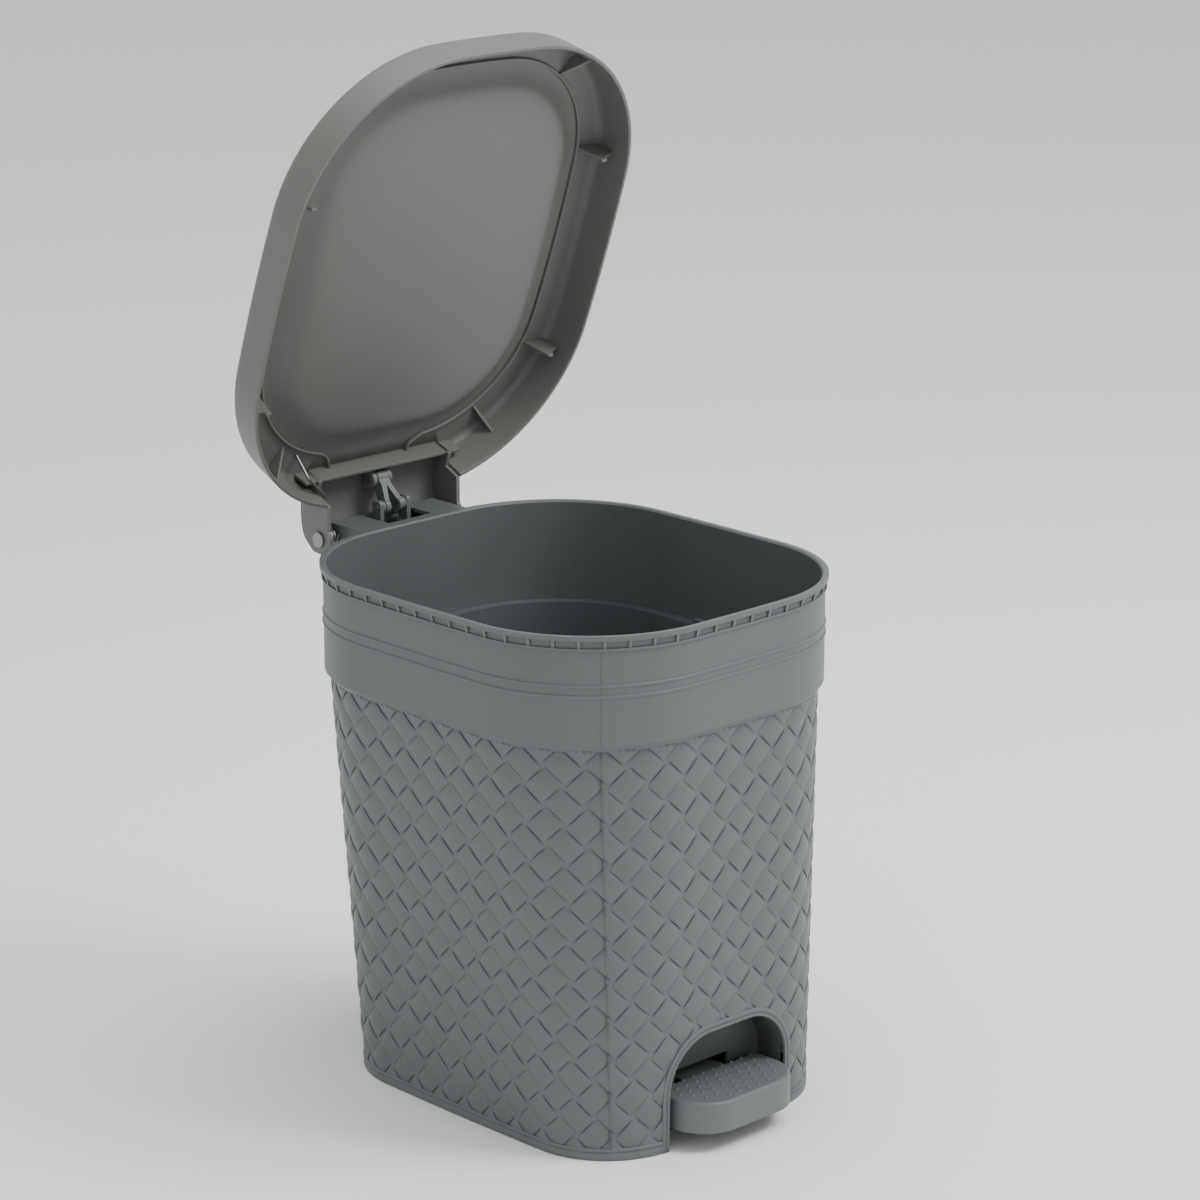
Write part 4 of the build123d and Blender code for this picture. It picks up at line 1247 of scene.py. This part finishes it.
# ------------------------------------------------------------------------------ pedal
@dataclass
class PedalTread:
    """Staggered grid of raised dots on the pedal."""

    finishes: Finishes
    pitch: float = 8.4
    rise: float = 0.7
    radius: float = 1.35
    top: float = 32.5

    def tree(self) -> bpy.types.NodeTree:
        """Node tree that sets a dot on every given point."""
        tree = bpy.data.node_groups.new("Tread dots", "GeometryNodeTree")
        face = tree.interface
        face.new_socket("Geometry", in_out="INPUT", socket_type="NodeSocketGeometry")
        for name, kind in (
            ("Radius", "NodeSocketFloat"),
            ("Rise", "NodeSocketFloat"),
            ("Finish", "NodeSocketMaterial"),
        ):
            face.new_socket(name, in_out="INPUT", socket_type=kind)
        face.new_socket("Geometry", in_out="OUTPUT", socket_type="NodeSocketGeometry")
        t = Tree(tree)
        given = t.node("NodeGroupInput")
        result = t.node("NodeGroupOutput")
        ball = t.node("GeometryNodeMeshUVSphere")
        ball.inputs["Segments"].default_value = 16
        ball.inputs["Rings"].default_value = 8
        ball.inputs["Radius"].default_value = 1.0
        size = t.node("ShaderNodeCombineXYZ")
        t.link(given.outputs["Radius"], size.inputs["X"])
        t.link(given.outputs["Radius"], size.inputs["Y"])
        t.link(given.outputs["Rise"], size.inputs["Z"])
        dots = t.node("GeometryNodeInstanceOnPoints")
        t.link(given.outputs["Geometry"], dots.inputs["Points"])
        t.link(ball.outputs["Mesh"], dots.inputs["Instance"])
        t.link(size.outputs["Vector"], dots.inputs["Scale"])
        real = t.node("GeometryNodeRealizeInstances")
        smooth = t.node("GeometryNodeSetShadeSmooth")
        painted = t.node("GeometryNodeSetMaterial")
        t.link(dots.outputs["Instances"], real.inputs["Geometry"])
        t.link(real.outputs["Geometry"], smooth.inputs["Geometry"])
        t.link(smooth.outputs["Geometry"], painted.inputs["Geometry"])
        t.link(given.outputs["Finish"], painted.inputs["Material"])
        t.link(painted.outputs["Geometry"], result.inputs["Geometry"])
        return tree

    def build(self) -> bpy.types.Object:
        """Makes the dots.

        Returns:
            The piece, riding on the pedal.
        """
        log.info("pedal tread")
        spots = []
        for row in range(6):
            y = -153.2 + row * self.pitch * 0.84
            for column in range(-5, 6):
                x = (column + 0.5 * (row % 2)) * self.pitch
                limit = 38.0 if row > 1 else (22.0, 31.0)[row]
                if abs(x) <= limit:
                    spots.append((x, y, self.top))
        made = new_object("tread_dots", np.array(spots), [])
        tree = self.tree()
        keys = {item.name: item.identifier for item in tree.interface.items_tree if item.in_out == "INPUT"}
        step = made.modifiers.new("Dots", "NODES")
        step.node_group = tree
        step[keys["Radius"]] = self.radius * MM
        step[keys["Rise"]] = self.rise * MM
        step[keys["Finish"]] = self.finishes.of(Slot.PEDAL)
        baked(made)
        self.finishes.dress(made, Slot.PEDAL)
        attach(made, Body.PEDAL.value)
        return made


# ------------------------------------------------------------------------------ studio
@dataclass(frozen=True)
class Studio:
    """Pale sweep, soft light and the camera."""

    azimuth: float = math.radians(-43.96)
    elevation: float = math.radians(16.18)
    distance: float = 2.4935
    lens: float = 122.36
    target: tuple = (0.0, 0.0, 0.3071)
    side_shift: float = 0.01649

    def floor(self) -> None:
        """Pale floor."""
        made = new_object(
            "floor",
            np.array([(x * 6000, y * 6000, -0.05) for x, y in ((-1, -1), (1, -1), (1, 1), (-1, 1))]),
            [(0, 1, 2, 3)],
        )
        paint = bpy.data.materials.new("Pale sweep")
        paint.use_nodes = True
        shader = paint.node_tree.nodes["Principled BSDF"]
        shader.inputs["Base Color"].default_value = (0.93, 0.93, 0.93, 1)
        shader.inputs["Roughness"].default_value = 0.9
        made.data.materials.append(paint)

    def lamp(self, name: str, place: tuple, aim: tuple, size: float, power: float) -> None:
        """Square soft light."""
        data = bpy.data.lights.new(name, "AREA")
        data.size = size
        data.energy = power
        made = bpy.data.objects.new(name, data)
        made.location = place
        made.rotation_euler = (Vector(aim) - Vector(place)).to_track_quat("-Z", "Y").to_euler()
        bpy.context.scene.collection.objects.link(made)

    def build(self) -> None:
        """Makes the floor, lights, world and camera."""
        log.info("studio")
        self.floor()
        right = Vector((math.cos(self.azimuth), math.sin(self.azimuth), 0))
        back = Vector((
            math.sin(self.azimuth) * math.cos(self.elevation),
            -math.cos(self.azimuth) * math.cos(self.elevation),
            math.sin(self.elevation),
        ))
        data = bpy.data.cameras.new("Camera")
        data.lens = self.lens
        data.sensor_width = 36.0
        data.clip_end = 50.0
        camera = bpy.data.objects.new("Camera", data)
        camera.location = Vector(self.target) + right * self.side_shift + back * self.distance
        camera.rotation_euler = (-back).to_track_quat("-Z", "Y").to_euler()
        bpy.context.scene.collection.objects.link(camera)
        bpy.context.scene.camera = camera
        self.lamp("Key", (1.0, -1.35, 2.3), (0, 0, 0.25), 1.0, 50)
        self.lamp("Top", (0.1, 0.1, 2.2), (0, 0, 0.3), 1.4, 20)
        self.lamp("Left", (-2.2, -0.4, 1.4), (0, 0, 0.3), 1.6, 1.5)
        world = bpy.data.worlds.new("World")
        world.use_nodes = True
        world.node_tree.nodes["Background"].inputs["Color"].default_value = (1, 1, 1, 1)
        world.node_tree.nodes["Background"].inputs["Strength"].default_value = 0.85
        bpy.context.scene.world = world


def main() -> None:
    """Builds every sub-assembly."""
    logging.basicConfig(level=logging.INFO, format="%(name)s: %(message)s")
    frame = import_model()
    finishes = Finishes()
    finishes.dress_frame(frame)
    Weave(finishes).build()
    BodyTrim(finishes).build()
    Lid(finishes).build()
    PedalTread(finishes).build()
    Studio().build()


if __name__ == "__main__":
    main()
